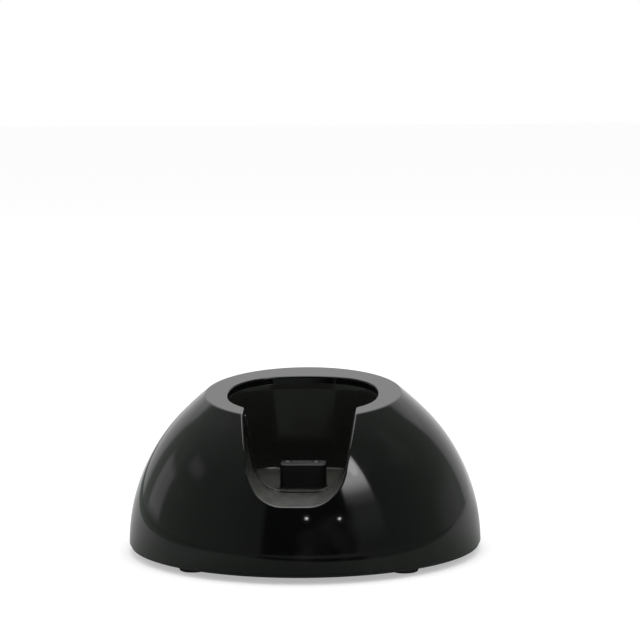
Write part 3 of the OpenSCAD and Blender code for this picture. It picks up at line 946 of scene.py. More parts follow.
@dataclass(frozen=True)
class Moulding(Finish):
    """Moulded black plastic, from high gloss to satin, with faint flow, scratches and dust; a satin
    zone also pales some faces, which on the block's top is a painted highlight.
    """

    slot: str
    colour: tuple
    rough: float
    ripple: float = 0.1
    dust: float = 0.0
    grain: float = 0.0
    zone: SatinZone | None = None
    dust_colour: tuple = (0.32, 0.31, 0.3)
    smudge_colour: tuple = (0.3, 0.3, 0.29)
    smudge_share: float = 0.03

    def dress(self, on: Shading) -> None:
        """Sets colour, gloss, ripple, grain and dust.

        Args:
            on: The material's nodes.
        """
        on.set(IOR=1.5)
        colour = on.blend(on.noise(38.0, 4.0), shade(self.colour, 0.85), shade(self.colour, 1.2))
        smear = on.noise(120.0, 5.0, (1, 1, 0.3))
        rough = on.ramp(smear, (0.3, 0.75), (self.rough * 0.75, self.rough * 1.4))
        if self.dust > 0:
            dots = on.specks(150.0, 0.032)
            patches = on.ramp(on.noise(70.0, 2.0), (0.5, 0.68), (0.0, self.dust))
            colour = on.blend(on.times(dots, patches), colour, self.dust_colour)
            strength = self.dust * self.smudge_share
            smudge = on.ramp(on.noise(55.0, 5.0), (0.6, 0.75), (0.0, strength))
            colour = on.blend(smudge, colour, self.smudge_colour)
        # The zone's paler colour is a painted highlight on the block's top; in the well and the
        # channel it is their satin, dusty colour.
        if self.zone is not None:
            share = self.zone.share(on)
            streaks = on.ramp(on.noise(420.0, 6.0, (1, 0.5, 1)), (0.35, 0.7), (0.4, 1.0))
            colour = on.blend(on.times(share, streaks), colour, self.zone.colour)
            rough = on.sum(rough, on.times(share, self.zone.rough - self.rough))
        on.feed("Base Color", colour)
        on.feed("Roughness", rough)
        layers = [(on.noise(26.0, 1.0), self.ripple, 0.00005)]
        if self.grain > 0:
            layers.append((on.noise(5200.0, 2.0), self.grain, 0.00002))
        on.bump(*layers)


@dataclass(frozen=True)
class Rubber(Finish):
    """Soft black rubber with a dull, slightly dusty skin."""

    slot: str
    colour: tuple
    worn_share: float = 2.1

    def dress(self, on: Shading) -> None:
        """Sets a dull skin with a fine grain and paler worn patches.

        Args:
            on: The material's nodes.
        """
        on.set(IOR=1.45)
        worn = on.ramp(on.noise(420.0, 4.0), (0.45, 0.8), (0.0, 1.0))
        on.feed("Base Color", on.blend(worn, self.colour, shade(self.colour, self.worn_share)))
        on.feed("Roughness", on.ramp(on.noise(900.0), (0.2, 0.8), (0.62, 0.82)))
        on.bump((on.noise(6500.0, 3.0), 0.35, 0.00003))


@dataclass(frozen=True)
class Metal(Finish):
    """Plated, turned or rolled metal with fine marks along one direction."""

    slot: str
    colour: tuple
    rough: float
    marks: tuple
    tarnish: float = 0.25
    stain_share: float = 0.6

    def dress(self, on: Shading) -> None:
        """Sets a metal with drawn-out marks and a little tarnish.

        Args:
            on: The material's nodes.
        """
        on.set(Metallic=1.0)
        stain = on.ramp(on.noise(260.0, 4.0), (0.35, 0.75), (0.0, self.tarnish))
        on.feed("Base Color", on.blend(stain, self.colour, shade(self.colour, self.stain_share)))
        lines = on.noise(2600.0, 3.0, self.marks)
        on.feed("Roughness", on.ramp(lines, (0.25, 0.75), (self.rough * 0.7, self.rough * 1.35)))
        on.bump((lines, 0.12, 0.00002))


@dataclass(frozen=True)
class Laminate(Finish):
    """Green circuit board: solder mask over a faint glass weave, with tracks under it."""

    slot: str
    colour: tuple
    track_share: float = 1.8

    def dress(self, on: Shading) -> None:
        """Sets the mask, its weave and the pale tracks under it.

        Args:
            on: The material's nodes.
        """
        on.set(IOR=1.5, Coat_Weight=0.4, Coat_Roughness=0.2)
        weave = on.nodes.new("ShaderNodeTexWave")
        tracks = on.nodes.new("ShaderNodeTexBrick")
        for texture, key, value in (
            (weave, "Scale", 420.0),
            (weave, "Distortion", 1.5),
            (tracks, "Scale", 210.0),
            (tracks, "Mortar Size", 0.09),
            (tracks, "Bias", 0.2),
        ):
            texture.inputs[key].default_value = value
        for texture in (weave, tracks):
            on.links.new(on.where, texture.inputs["Vector"])
        pale = shade(self.colour, self.track_share)
        on.feed("Base Color", on.blend(tracks.outputs["Fac"], self.colour, pale))
        on.feed("Roughness", on.ramp(on.noise(300.0), (0.2, 0.8), (0.3, 0.45)))
        on.bump((weave.outputs["Fac"], 0.1, 0.00002), (tracks.outputs["Fac"], 0.2, 0.00003))


@dataclass(frozen=True)
class Housing(Finish):
    """Small moulded housings, sleeves and chip packages of one colour."""

    slot: str
    colour: tuple
    rough: float

    def dress(self, on: Shading) -> None:
        """Sets an even colour that varies a little, with a fine grain.

        Args:
            on: The material's nodes.
        """
        on.set(IOR=1.5)
        low, high = shade(self.colour, 0.85), shade(self.colour, 1.12)
        on.feed("Base Color", on.blend(on.noise(300.0, 3.0), low, high))
        spread = (self.rough * 0.8, self.rough * 1.2)
        on.feed("Roughness", on.ramp(on.noise(800.0), (0.2, 0.8), spread))
        on.bump((on.noise(4200.0, 2.0), 0.2, 0.00002))


class FinishName(Enum):
    """The finishes, by what they are on."""

    SHELL = "gloss_black_shell"
    LINER = "satin_black_well"
    BLOCK = "gloss_black_block"
    BASE = "grained_black_base"
    INLET = "satin_black_inlet"
    FOOT = "black_rubber"
    NICKEL = "nickel_plate"
    PIN = "worn_dark_nickel"
    BRASS = "bright_brass"
    SPRING = "spring_wire"
    SCREW = "zinc_screw"
    BALLAST = "rolled_steel"
    BOARD = "green_board"
    RED = "red_sleeve"
    BLACK = "black_sleeve"
    PLUG = "white_housing"
    CAN = "capacitor_sleeve"
    CHIP = "chip_package"


CHANNEL_SATIN = SatinZone(
    colour=(0.062, 0.065, 0.054),
    facing=Axis.Y,
    faces=(0.16, 0.04),
    heights=(0.028, 0.042),
    depths=(-0.03, -0.026),
)
FLOOR_SATIN = SatinZone(
    colour=(0.05, 0.053, 0.043), facing=Axis.Y, faces=(0.3, 0.1), heights=(0.024, 0.032)
)
# On the block's upward faces: rougher, and paler as a painted highlight.
BLOCK_SATIN_HIGHLIGHT = SatinZone(
    colour=(0.013, 0.0135, 0.0125), facing=Axis.Z, faces=(0.1, 0.6), heights=(0.04, 0.05)
)
SHELL_BLACK = (0.0018, 0.0019, 0.002)
LINER_BLACK = (0.01, 0.011, 0.0095)
BLOCK_BLACK = (0.003, 0.0032, 0.003)
SLEEVE_BLACK = (0.012, 0.012, 0.013)

FINISHES = {
    FinishName.SHELL: Moulding(
        "shell_black", SHELL_BLACK, rough=0.055, dust=0.5, zone=CHANNEL_SATIN
    ),
    FinishName.LINER: Moulding("liner_black", LINER_BLACK, rough=0.13, dust=0.3, zone=FLOOR_SATIN),
    FinishName.BLOCK: Moulding("block_black", BLOCK_BLACK, rough=0.35, dust=0.2, zone=BLOCK_SATIN_HIGHLIGHT),
    FinishName.BASE: Moulding(
        "base_black", (0.006, 0.006, 0.0065), rough=0.42, dust=0.2, grain=0.35
    ),
    FinishName.INLET: Moulding("inlet_black", SLEEVE_BLACK, rough=0.35, grain=0.2),
    FinishName.FOOT: Rubber("foot_rubber", (0.018, 0.018, 0.019)),
    FinishName.NICKEL: Metal("contact_nickel", (0.62, 0.58, 0.5), rough=0.22, marks=(1, 1, 12)),
    # The pins' nickel is far darker than the other contacts', so the domed tips stay dark.
    FinishName.PIN: Metal("contact_nickel", (0.05, 0.049, 0.047), rough=0.4, marks=(1, 1, 12)),
    FinishName.BRASS: Metal("contact_brass", (0.78, 0.55, 0.22), rough=0.25, marks=(6, 1, 1)),
    FinishName.SPRING: Metal("spring_steel", (0.56, 0.57, 0.58), rough=0.3, marks=(1, 1, 6)),
    FinishName.SCREW: Metal("screw_steel", (0.6, 0.61, 0.62), rough=0.28, marks=(8, 1, 1)),
    FinishName.BALLAST: Metal(
        "ballast_steel", (0.36, 0.37, 0.38), rough=0.42, marks=(14, 1, 1), tarnish=0.6
    ),
    FinishName.BOARD: Laminate("board_green", (0.018, 0.09, 0.035)),
    FinishName.RED: Housing("lead_red", (0.4, 0.02, 0.015), rough=0.4),
    FinishName.BLACK: Housing("lead_black", SLEEVE_BLACK, rough=0.4),
    FinishName.PLUG: Housing("plug_white", (0.72, 0.69, 0.6), rough=0.42),
    FinishName.CAN: Housing("can_aluminium", (0.03, 0.035, 0.05), rough=0.3),
    FinishName.CHIP: Housing("chip_black", SLEEVE_BLACK, rough=0.5),
}


class Paints:
    """Makes each finish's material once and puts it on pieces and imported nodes."""

    def __init__(self) -> None:
        """Starts with no material made."""
        self.made: dict[FinishName, bpy.types.Material] = {}

    def of(self, finish: FinishName) -> bpy.types.Material:
        """Gives the material of a finish, and makes it at first use."""
        if finish not in self.made:
            self.made[finish] = FINISHES[finish].build(finish.value)
        return self.made[finish]

    def dress(self, piece: bpy.types.Object, finish: FinishName) -> None:
        """Puts a finish on a piece.

        Args:
            piece: Object that is dressed.
            finish: Its finish.
        """
        piece.data.materials.clear()
        piece.data.materials.append(self.of(finish))

    def place(self, piece: bpy.types.Object, finish: FinishName, body: str, *nodes: str) -> None:
        """Dresses a new piece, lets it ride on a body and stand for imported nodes.

        Args:
            piece: The new piece.
            finish: Its finish.
            body: Body that it moves with.
            nodes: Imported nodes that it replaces.
        """
        self.dress(piece, finish)
        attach(piece, body)
        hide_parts(*nodes)
        LOG.info("%s: %d faces, %s", piece.name, len(piece.data.polygons), finish.value)


# Sub-assemblies


@dataclass
class Dome:
    """The half-dome cover with its tilted rim, the notch in front and the inlet's recess behind."""

    wall: float = 2.2
    channel_wall: float = 2.0
    liner_room: float = 1.7
    foot_edge_r: float = 0.35
    rim_edge_r: float = 0.25
    notch_edge_r: float = 0.6
    opening_edge_r: float = 0.45
    inlet_z: float = 13.2
    inlet_flat_r: float = 6.0
    inlet_flat_y: float = 52.79
    inlet_hole_r: float = 4.1
    inlet_edge: float = 0.35
    pad_t: float = 2.6
    pad_reach: float = 12
    pad_top_z: float = 23
    pad_fade: float = 3
    fine_step: float = 0.13
    notch_step: float = 0.55
    rim_step: float = 1.2
    rim_mean_r: float = 38.0
    edge_reach: float = 1.15
    side_rows: int = 42
    inside_rows: int = 18

    def field(self, points: Array) -> Array:
        """Distance field of the dome's outside, rim, notch and opening.

        Args:
            points: Points in the part's frame.

        Returns:
            Signed distances.
        """
        x, y, z = points[..., 0], points[..., 1], points[..., 2]
        shell = round_max(SECTION.distance(points), SECTION.foot_z - z, self.foot_edge_r)
        shell = round_max(shell, RIM.distance(points), self.rim_edge_r)
        notch = np.maximum(NOTCH.distance(x, z), y - WELL.y)
        shell = round_max(shell, -notch, self.notch_edge_r)
        return round_max(shell, OPENING_GAP - WELL.distance(x, y), self.opening_edge_r)

    def outside(self, turn: Array, z: Array, inward: Array | float = 0.0) -> Array:
        """Finds points on the dome's side.

        Args:
            turn: Angles from the front towards +X.
            z: Heights.
            inward: How far inside the surface the points lie.

        Returns:
            The points.
        """
        r = SECTION.radius(z) - inward
        return np.stack([r * np.sin(turn), -r * np.cos(turn), z], -1)

    def meet_rim(self, turn: Array, inward: float = 0.0, sink: float = 0.0) -> Array:
        """Finds where the dome's side meets the rim's plane.

        Args:
            turn: Angles from the front towards +X.
            inward: How far inside the surface the points lie.
            sink: How far under the rim they lie.

        Returns:
            The points.
        """
        z = np.full(turn.shape, RIM_GUESS_Z)
        for _ in range(SEARCH_ROUNDS):
            z = RIM.height(-(SECTION.radius(z) - inward) * np.cos(turn), sink)
        return self.outside(turn, z, inward)

    def side_on(self, find_y: Callable[[float, float], float], sink: float = 0.0) -> Array:
        """Finds where the notch's right side, the rim's plane and an upright surface meet.

        Args:
            find_y: Gives the surface's place along Y at a place along X and a height.
            sink: How far under the rim the point lies.

        Returns:
            The point.
        """
        z = RIM_GUESS_Z
        for _ in range(SEARCH_ROUNDS):
            x = float(NOTCH.side_x(z))
            z = float(RIM.height(find_y(x, z), sink))
        return np.array([x, find_y(x, z), z])

    def rings(self) -> RingStack:
        """Lays out the dome's surface as a closed stack of rings.

        Returns:
            The rings, their right half only.
        """
        walk, spots = WELL.half(OPENING_GAP)

        def front_open(x: float, z: float) -> float:
            """Gives the opening's front edge along Y. It is the same at each height."""
            return float(WELL.front_y(np.array(x), OPENING_GAP))

        def front_dome(x: float, z: float) -> float:
            """Gives the dome's front along Y."""
            return -math.sqrt(float(SECTION.radius(np.array(z))) ** 2 - x * x)

        outer_corner = self.side_on(front_dome)
        inner_corner = self.side_on(front_open)
        foot_corner = self.side_on(front_open, RIM.thickness)
        _, straight = NOTCH.bends()
        tangent_z = NOTCH.walk(np.array([straight]))[0][0, 1]
        rise, _ = NOTCH.way
        outer_len = straight + (outer_corner[2] - tangent_z) / rise
        inner_len = straight + (inner_corner[2] - tangent_z) / rise

        # The notch's columns, from the sill's middle up to the rim
        along = outer_len - graded(outer_len, self.fine_step, self.notch_step)[::-1]
        share = along / outer_len
        inner_along = along + (inner_len - outer_len) * share**3
        edge, _ = NOTCH.walk(along)
        lip, out = NOTCH.walk(inner_along)
        dome_y = -np.sqrt(SECTION.radius(edge[:, 1]) ** 2 - edge[:, 0] ** 2)
        loop_n = np.stack([edge[:, 0], dome_y, edge[:, 1]], -1)
        open_y = WELL.front_y(lip[:, 0], OPENING_GAP)
        room_y = WELL.front_y(lip[:, 0], self.liner_room)
        in_rim = lip[:, 1] > RIM.height(open_y, RIM.thickness)
        lip_n = np.stack([lip[:, 0], np.where(in_rim, open_y, room_y), lip[:, 1]], -1)

        # The rim's columns, from the notch's corner round to the back
        corner_turn = math.atan2(outer_corner[0], -outer_corner[1])
        rim_len = (math.pi - corner_turn) * self.rim_mean_r
        rim_along = graded(rim_len, self.fine_step, self.rim_step)[1:]
        turn_r = corner_turn + (math.pi - corner_turn) * rim_along / rim_len
        loop_r = self.meet_rim(turn_r)
        corner_walk = float(walked_to(inner_corner[0], walk, spots))
        lip_walk = corner_walk + (walk[-1] - corner_walk) * rim_along / rim_len
        lip_xy = on_path(lip_walk, walk, spots)
        lip_r = np.column_stack([lip_xy, RIM.height(lip_xy[:, 1])])

        loop, lips = np.vstack([loop_n, loop_r]), np.vstack([lip_n, lip_r])
        count, notch_count = len(loop), len(loop_n)
        turn = np.arctan2(loop[:, 0], -loop[:, 1])
        turn[0], turn[-1] = 0.0, math.pi
        turn_share, even_share = 0.45, 0.55
        foot_turn = turn_share * turn + even_share * np.linspace(0, math.pi, count)
        is_rim = np.arange(count) >= notch_count
        deep = ~is_rim
        deep[:notch_count] = ~in_rim

        # Foot edge and side
        stack = RingStack()
        every, hidden = np.ones(count, bool), np.zeros(count, bool)
        foot = self.outside(foot_turn, np.full(count, SECTION.foot_z))
        inward = foot * [1, 1, 0] / np.linalg.norm(foot[:, :2], axis=1)[:, None]
        for d in (1.0, 0.4, 0.2):
            stack.add(foot - inward * d, every)
        stack.add(foot, every)
        rise_len = np.linalg.norm(loop - foot, axis=1)
        near = self.notch_edge_r * self.edge_reach
        levels = [np.full(count, d) / rise_len for d in (0.2, 0.4)]
        start, end = 1.0 / rise_len, 1 - 2.2 * near / rise_len
        rows = self.side_rows
        levels += [start + (end - start) * k / (rows - 1) for k in range(rows)]
        levels += [1 - near * f / rise_len for f in (1.6, 1.2, 1.0, 0.8, 0.6, 0.4, 0.2, 0.0)]
        for v in levels:
            at = foot_turn + (turn - foot_turn) * v
            z = SECTION.foot_z + (loop[:, 2] - SECTION.foot_z) * v
            stack.add(self.outside(at, z), every)

        # Rim and notch wall, inwards to the opening's edge
        across = lips - loop
        length = np.linalg.norm(across, axis=1)[:, None]
        for d in (0.2, 0.4, 0.6, 0.8, 1.0, 1.3):
            stack.add(loop + across * near * d / length, every)
        for k in range(1, 9):
            share_k = near * 1.3 / length + (1 - 2.4 * near / length) * k / 9
            stack.add(loop + across * share_k, every)
        edge_r = self.opening_edge_r * self.edge_reach
        for d in (1.3, 1.0, 0.75, 0.5, 0.25, 0.0):
            stack.add(lips - across * edge_r * d / length, every if d else ~deep)

        # The opening's wall down to the liner, or the end face of the notch's channel
        rim_extra = np.zeros(count)
        rim_extra[is_rim] = lip_walk - corner_walk
        depth = np.clip((inner_corner[2] - lips[:, 2]) / (inner_corner[2] - foot_corner[2]), 0, 1)
        foot_walk = float(walked_to(foot_corner[0], walk, spots))
        lead, fade = 1.0, 4
        rim_base = foot_walk + rim_extra + np.exp(-rim_extra / fade) * lead
        base_walk = np.where(is_rim, rim_base, foot_walk + (1 - depth) * lead)
        base_walk = np.minimum(base_walk, walk[-1])
        base_walk[-1] = walk[-1]
        base_xy = on_path(base_walk, walk, spots)
        base = np.column_stack([base_xy, RIM.height(base_xy[:, 1], RIM.thickness)])
        outward = np.zeros((count, 3))
        outward[:notch_count, 0], outward[:notch_count, 2] = out[:, 0], out[:, 1]
        behind = lips + outward * self.channel_wall
        target = np.where(deep[:, None], behind, base)
        drop = target - lips
        for q in (0.12, 0.24, 0.4, 0.7, 1.0):
            stack.add(lips + drop * q, ~deep if q < 1 else hidden)

        # Inside of the shell, down to the foot
        grown, _ = NOTCH.walk(along, self.channel_wall)
        inner_r = SECTION.radius(grown[:, 1]) - self.wall
        grown_y = -np.sqrt(np.maximum(inner_r**2 - grown[:, 0] ** 2, 1))
        under = RIM.height(grown_y, RIM.thickness)
        grown_z = np.minimum(grown[:, 1], under)
        inside_n = np.stack([grown[:, 0], grown_y, grown_z], -1)
        last_turn = math.atan2(inside_n[-1, 0], -inside_n[-1, 1])
        turned = (turn_r - corner_turn) * (math.pi - last_turn) / (math.pi - corner_turn)
        turn_in = last_turn + turned
        inside = np.vstack([inside_n, self.meet_rim(turn_in, self.wall, RIM.thickness)])
        for k in range(1, 5):
            stack.add(target + (inside - target) * k / 4, hidden)
        in_turn = np.arctan2(inside[:, 0], -inside[:, 1])
        in_turn[0], in_turn[-1] = 0.0, math.pi
        for k in range(1, self.inside_rows + 1):
            v = k / self.inside_rows
            at = in_turn + (foot_turn - in_turn) * v
            z = inside[:, 2] + (SECTION.foot_z - inside[:, 2]) * v
            stack.add(self.outside(at, z, self.wall + self.pad_t * self.pad(at, z)), hidden)
        return stack

    def pad(self, turn: Array, z: Array) -> Array:
        """Tells where the wall is thicker, behind the inlet's recess.

        Args:
            turn: Angles from the front towards +X.
            z: Heights.

        Returns:
            Values from zero to one.
        """
        aside = np.abs(SECTION.foot_r * np.sin(turn))
        beside = np.clip((self.pad_reach - aside) / self.pad_fade, 0, 1) * (np.cos(turn) < 0)
        return beside * np.clip((self.pad_top_z - z) / self.pad_fade, 0, 1)

    def build(self) -> bpy.types.Object:
        """Makes the dome's mesh.

        Returns:
            The dome.
        """
        piece = ring_piece("dome_cover", self.rings().whole(self.field), Ends.LOOPED)
        carve(piece, self.inlet_cutter())
        field_normals(piece, self.field)
        return piece

    def inlet_cutter(self) -> bpy.types.Object:
        """Makes the stepped plug that cuts the inlet's recess and hole.

        Returns:
            The cutter.
        """
        start_y, end_y = 40.0, 60.0
        steps = rounded_profile(
            [
                (AXIS_R, start_y, 0),
                (self.inlet_hole_r, start_y, 0),
                (self.inlet_hole_r, self.inlet_flat_y, self.inlet_edge),
                (self.inlet_flat_r, self.inlet_flat_y, 0),
                (self.inlet_flat_r, end_y, 0),
                (AXIS_R, end_y, 0),
            ]
        )
        cutter = turned_piece("inlet_cutter", steps, (0.0, 0.0), 96)
        turn = Matrix.Rotation(math.radians(-90), 4, "X")
        cutter.data.transform(Matrix.Translation((0, 0, self.inlet_z * MM)) @ turn)
        return cutter


@dataclass
class Well:
    """The oval cup under the rim, open in front, with the block's hole in its floor."""

    wall: float = 1.6
    floor_t: float = 1.8
    floor_r: float = 0.85
    edge_r: float = 0.1
    step: float = 0.4
    top_step: float = 0.1
    top_depth: float = 2.0
    draft: float = math.tan(math.radians(2.0))
    hole_at: tuple = (0.8, -20.55)
    hole_w: float = 14.2
    hole_l: float = 8.8
    hole_r: float = 1.2
    fine_step: float = 0.12
    notch_step: float = 0.6
    round_step: float = 1.1
    wall_rows: int = 16
    top_rows: int = 4
    outer_rows: int = 6

    def field(self, points: Array) -> Array:
        """Distance field of the cup.

        Args:
            points: Points in the part's frame.

        Returns:
            Signed distances.
        """
        x, y, z = points[..., 0], points[..., 1], points[..., 2]
        plan = WELL.distance(x, y)
        over = RIM.distance(points, RIM.thickness)
        near_top = np.clip(1 + over / self.top_depth, 0.0, 1.0)
        body = round_max(plan - self.wall, over, self.edge_r)
        inside = plan - OPENING_GAP * near_top + self.draft * np.maximum(-over, 0.0)
        room = round_max(inside, WELL_FLOOR - z, self.floor_r)
        step = self.step + (self.top_step - self.step) * near_top
        bar = np.maximum(NOTCH.distance(x, z) + step, y - WELL.y)
        return round_max(body, -np.minimum(room, bar), self.edge_r)

    def rings(self) -> RingStack:
        """Lays out the cup's walls as a stack of rings, from the floor over the top.

        Returns:
            The rings, their right half only.
        """
        walk, spots = WELL.half(0.0)
        out_walk, out_spots = WELL.half(self.wall)
        grow = -self.step
        _, straight = NOTCH.bends(grow)

        def corner(margin: float) -> Array:
            """Finds where the notch's side meets the cup's top on one of its walls."""
            z = RIM_GUESS_Z
            for _ in range(SEARCH_ROUNDS):
                x = float(NOTCH.side_x(z, grow))
                y = float(WELL.front_y(np.array(x), margin))
                z = float(RIM.height(y, RIM.thickness))
            return np.array([x, y, z])

        in_corner, out_corner = corner(0.0), corner(self.wall)
        tangent_z = NOTCH.walk(np.array([straight]), grow)[0][0, 1]
        rise, _ = NOTCH.way
        in_len = straight + (in_corner[2] - tangent_z) / rise
        out_len = straight + (out_corner[2] - tangent_z) / rise
        along = in_len - graded(in_len, self.fine_step, self.notch_step)[::-1]
        edge, _ = NOTCH.walk(along, grow)
        edge_out, _ = NOTCH.walk(along + (out_len - in_len) * (along / in_len) ** 3, grow)
        loop_n = np.stack([edge[:, 0], WELL.front_y(edge[:, 0], 0.0), edge[:, 1]], -1)
        far_y = WELL.front_y(edge_out[:, 0], self.wall)
        far_n = np.stack([edge_out[:, 0], far_y, edge_out[:, 1]], -1)

        start = float(walked_to(in_corner[0], walk, spots))
        out_start = float(walked_to(out_corner[0], out_walk, out_spots))
        rest = graded(walk[-1] - start, self.fine_step, self.round_step)[1:]
        share = rest / rest[-1]
        xy = on_path(start + rest, walk, spots)
        out_xy = on_path(out_start + (out_walk[-1] - out_start) * share, out_walk, out_spots)
        loop_r = np.column_stack([xy, RIM.height(xy[:, 1], RIM.thickness)])
        far_r = np.column_stack([out_xy, RIM.height(out_xy[:, 1], RIM.thickness)])
        loop, far = np.vstack([loop_n, loop_r]), np.vstack([far_n, far_r])
        count = len(loop)

        loop_walk = np.concatenate([walked_to(loop_n[:, 0], walk, spots), start + rest])
        low_walk = 0.5 * loop_walk + 0.5 * np.linspace(0, walk[-1], count)
        low_walk[-1] = walk[-1]
        low_xy = on_path(low_walk, walk, spots)
        low = np.column_stack([low_xy, np.full(count, WELL_FLOOR)])
        height = loop[:, 2] - WELL_FLOOR
        middle = np.array([0.0, WELL.y, WELL_FLOOR])
        pull_share, pull_height = 0.35, 4.0
        pull = (pull_share * np.maximum(0.0, pull_height - height))[:, None]
        towards = middle - low
        inward = towards / np.linalg.norm(towards, axis=1)[:, None]
        low = low + inward * pull

        stack = RingStack()
        every, hidden = np.ones(count, bool), np.zeros(count, bool)
        up = loop - low
        up_len = np.linalg.norm(up, axis=1)[:, None]
        floor_near = np.minimum(self.floor_r * 1.2, 0.35 * up_len)
        for d in (2.2, 1.5, 1.0, 0.8, 0.6, 0.4, 0.2, 0.0):
            stack.add(low + inward * floor_near * d, every)
        for d in (0.2, 0.4, 0.6, 0.8, 1.0):
            stack.add(low + up * floor_near * d / up_len, every)
        edge_steps = (0.09, 0.18, 0.27)
        edge_end = edge_steps[-1]
        first = floor_near / up_len
        last = 1 - np.minimum(0.5, 0.2 * up_len) / up_len
        for k in range(1, self.wall_rows + 1):
            stack.add(low + up * (first + (last - first) * k / self.wall_rows), every)
        for d in reversed((0.0, *edge_steps)):
            stack.add(loop - up * np.minimum(d, 0.1 * up_len) / up_len, every)
        across = far - loop
        wide = np.linalg.norm(across, axis=1)[:, None]
        for d in edge_steps:
            stack.add(loop + across * d / wide, every)
        for k in range(1, self.top_rows):
            share_k = edge_end / wide + (1 - 2 * edge_end / wide) * k / self.top_rows
            stack.add(loop + across * share_k, every)
        for d in reversed((0.0, *edge_steps)):
            stack.add(far - across * d / wide, every)
        foot = far.copy()
        foot[:, 2] = WELL_FLOOR - self.floor_t
        down = foot - far
        tall = np.linalg.norm(down, axis=1)[:, None]
        for d in edge_steps:
            stack.add(far + down * d / tall, every)
        for k in range(1, self.outer_rows + 1):
            share_k = edge_end / tall + (1 - edge_end / tall) * k / self.outer_rows
            stack.add(far + down * share_k, hidden)
        return stack

    def build(self) -> bpy.types.Object:
        """Makes the cup's mesh.

        Returns:
            The cup.
        """
        rings = self.rings().whole(self.field)
        x, y = self.hole_at
        outer = rings[0]
        turn = np.arctan2(outer[:, 1] - y, outer[:, 0] - x)
        edge = rounded_box_points(turn, self.hole_w, self.hole_l, self.hole_r)
        edge = edge + np.array([x, y])
        mouth = np.column_stack([edge, np.full(len(edge), WELL_FLOOR)])
        floor = [mouth + (outer - mouth) * t for t in (0.0, 0.12, 0.3, 0.5, 0.7, 0.86)]
        under = np.column_stack([edge, np.full(len(edge), WELL_FLOOR - self.floor_t)])
        last = rings[-1]
        below = [last + (under - last) * t for t in (0.4, 0.8, 1.0)]
        stack = np.concatenate([np.array(floor), rings, np.array(below)])
        piece = ring_piece("well_cup", stack, Ends.LOOPED)
        field_normals(piece, self.field)
        return piece


def rounded_box_points(turn: Array, w: float, l: float, r: float) -> Array:
    """Finds where rays from the middle of a rounded rectangle cross it.

    Args:
        turn: Angles of the rays, from +X.
        w: Width.
        l: Length.
        r: Radius of the corners.

    Returns:
        The points from the middle.
    """
    way = np.stack([np.cos(turn), np.sin(turn)], -1)
    far = np.full(turn.shape, max(w, l))
    rounds, pace = 60, 0.7
    for _ in range(rounds):
        spot = np.abs(way) * far[:, None]
        out = spot - np.array([w / 2 - r, l / 2 - r])
        gap = np.linalg.norm(np.maximum(out, 0), axis=1) + np.minimum(out.max(1), 0) - r
        far = far - pace * gap
    return way * far[:, None]


@dataclass
class ContactBlock:
    """The block on the well's floor, its skirt under the floor and the two pin bores."""

    x: float = 0.8
    y: float = -20.55
    w: float = 14.0
    l: float = 8.6
    top_z: float = 30.5
    edge_r: float = 0.4
    edge_steps: int = 9
    corner_r: float = 1.6
    top_inset: float = 1.6
    top_corner_r: float = 0.3
    skirt_w: float = 17.6
    skirt_l: float = 12.2
    skirt_r: float = 1.1
    skirt_low_z: float = 15.2
    skirt_high_z: float = 21.2
    flare: float = 0.3
    flare_h: float = 0.45
    pins: tuple = ((-4.2, -18.35), (4.6, -18.35))
    bore_r: float = 1.36
    collar_bore_r: float = 1.9
    shoulder_z: float = 20.7
    mouth: float = 0.24
    crisp_from: float = 38

    def ring(self, w: float, l: float, r: float, z: float) -> Array:
        """Makes a ring of the block at a height."""
        side = np.linspace(-1, 1, 40, endpoint=False) * math.pi / 4
        turn = np.concatenate([math.radians(90 * q) + side for q in range(4)])
        spots = rounded_box_points(turn, w, l, r) + np.array([self.x, self.y])
        return np.column_stack([spots, np.full(len(spots), z)])

    def build(self) -> bpy.types.Object:
        """Makes the block's mesh.

        Returns:
            The block.
        """
        low_z, high_z = self.skirt_low_z, self.skirt_high_z
        rings = [
            self.ring(self.skirt_w, self.skirt_l, self.skirt_r, z)
            for z in (low_z, (low_z + high_z) / 2, high_z)
        ]
        rings.append(self.ring(self.w, self.l, self.corner_r, high_z))
        for z in (22.0, 23.0, 23.15, 23.35, 23.6, 24.0, 24.6, 25.4, 26.3, 27.2, 28.1, 28.9):
            wide = 0.0
            if z >= WELL_FLOOR:
                wide = 2 * self.flare * math.exp(-(z - WELL_FLOOR) / self.flare_h)
            rings.append(self.ring(self.w + wide, self.l + wide, self.corner_r, z))
        for k in range(self.edge_steps + 1):
            a = math.radians(90 * k / self.edge_steps)
            inset = self.edge_r * (1 - math.cos(a))
            z = self.top_z - self.edge_r * (1 - math.sin(a))
            r = self.corner_r - inset
            rings.append(self.ring(self.w - 2 * inset, self.l - 2 * inset, r, z))
        inset = self.top_inset
        top = self.ring(self.w - 2 * inset, self.l - 2 * inset, self.top_corner_r, self.top_z)
        rings.append(top)
        piece = ring_piece("contact_block_body", np.array(rings), Ends.CAPPED)
        for at in self.pins:
            bore = rounded_profile(
                [
                    (AXIS_R, low_z - 1, 0),
                    (self.collar_bore_r, low_z - 1, 0),
                    (self.collar_bore_r, self.shoulder_z, 0),
                    (self.bore_r, self.shoulder_z, 0),
                    (self.bore_r, self.top_z - self.mouth / 2, 0),
                    (self.bore_r + self.mouth, self.top_z + self.mouth / 2, 0),
                    (self.bore_r + self.mouth, self.top_z + 1, 0),
                    (AXIS_R, self.top_z + 1, 0),
                ]
            )
            carve(piece, turned_piece("bore_cutter", bore, at, 48))
        sharpen(piece, self.crisp_from)
        return piece


class Side(Enum):
    """The sides of the stand, seen from the front."""

    LEFT = "left"
    RIGHT = "right"


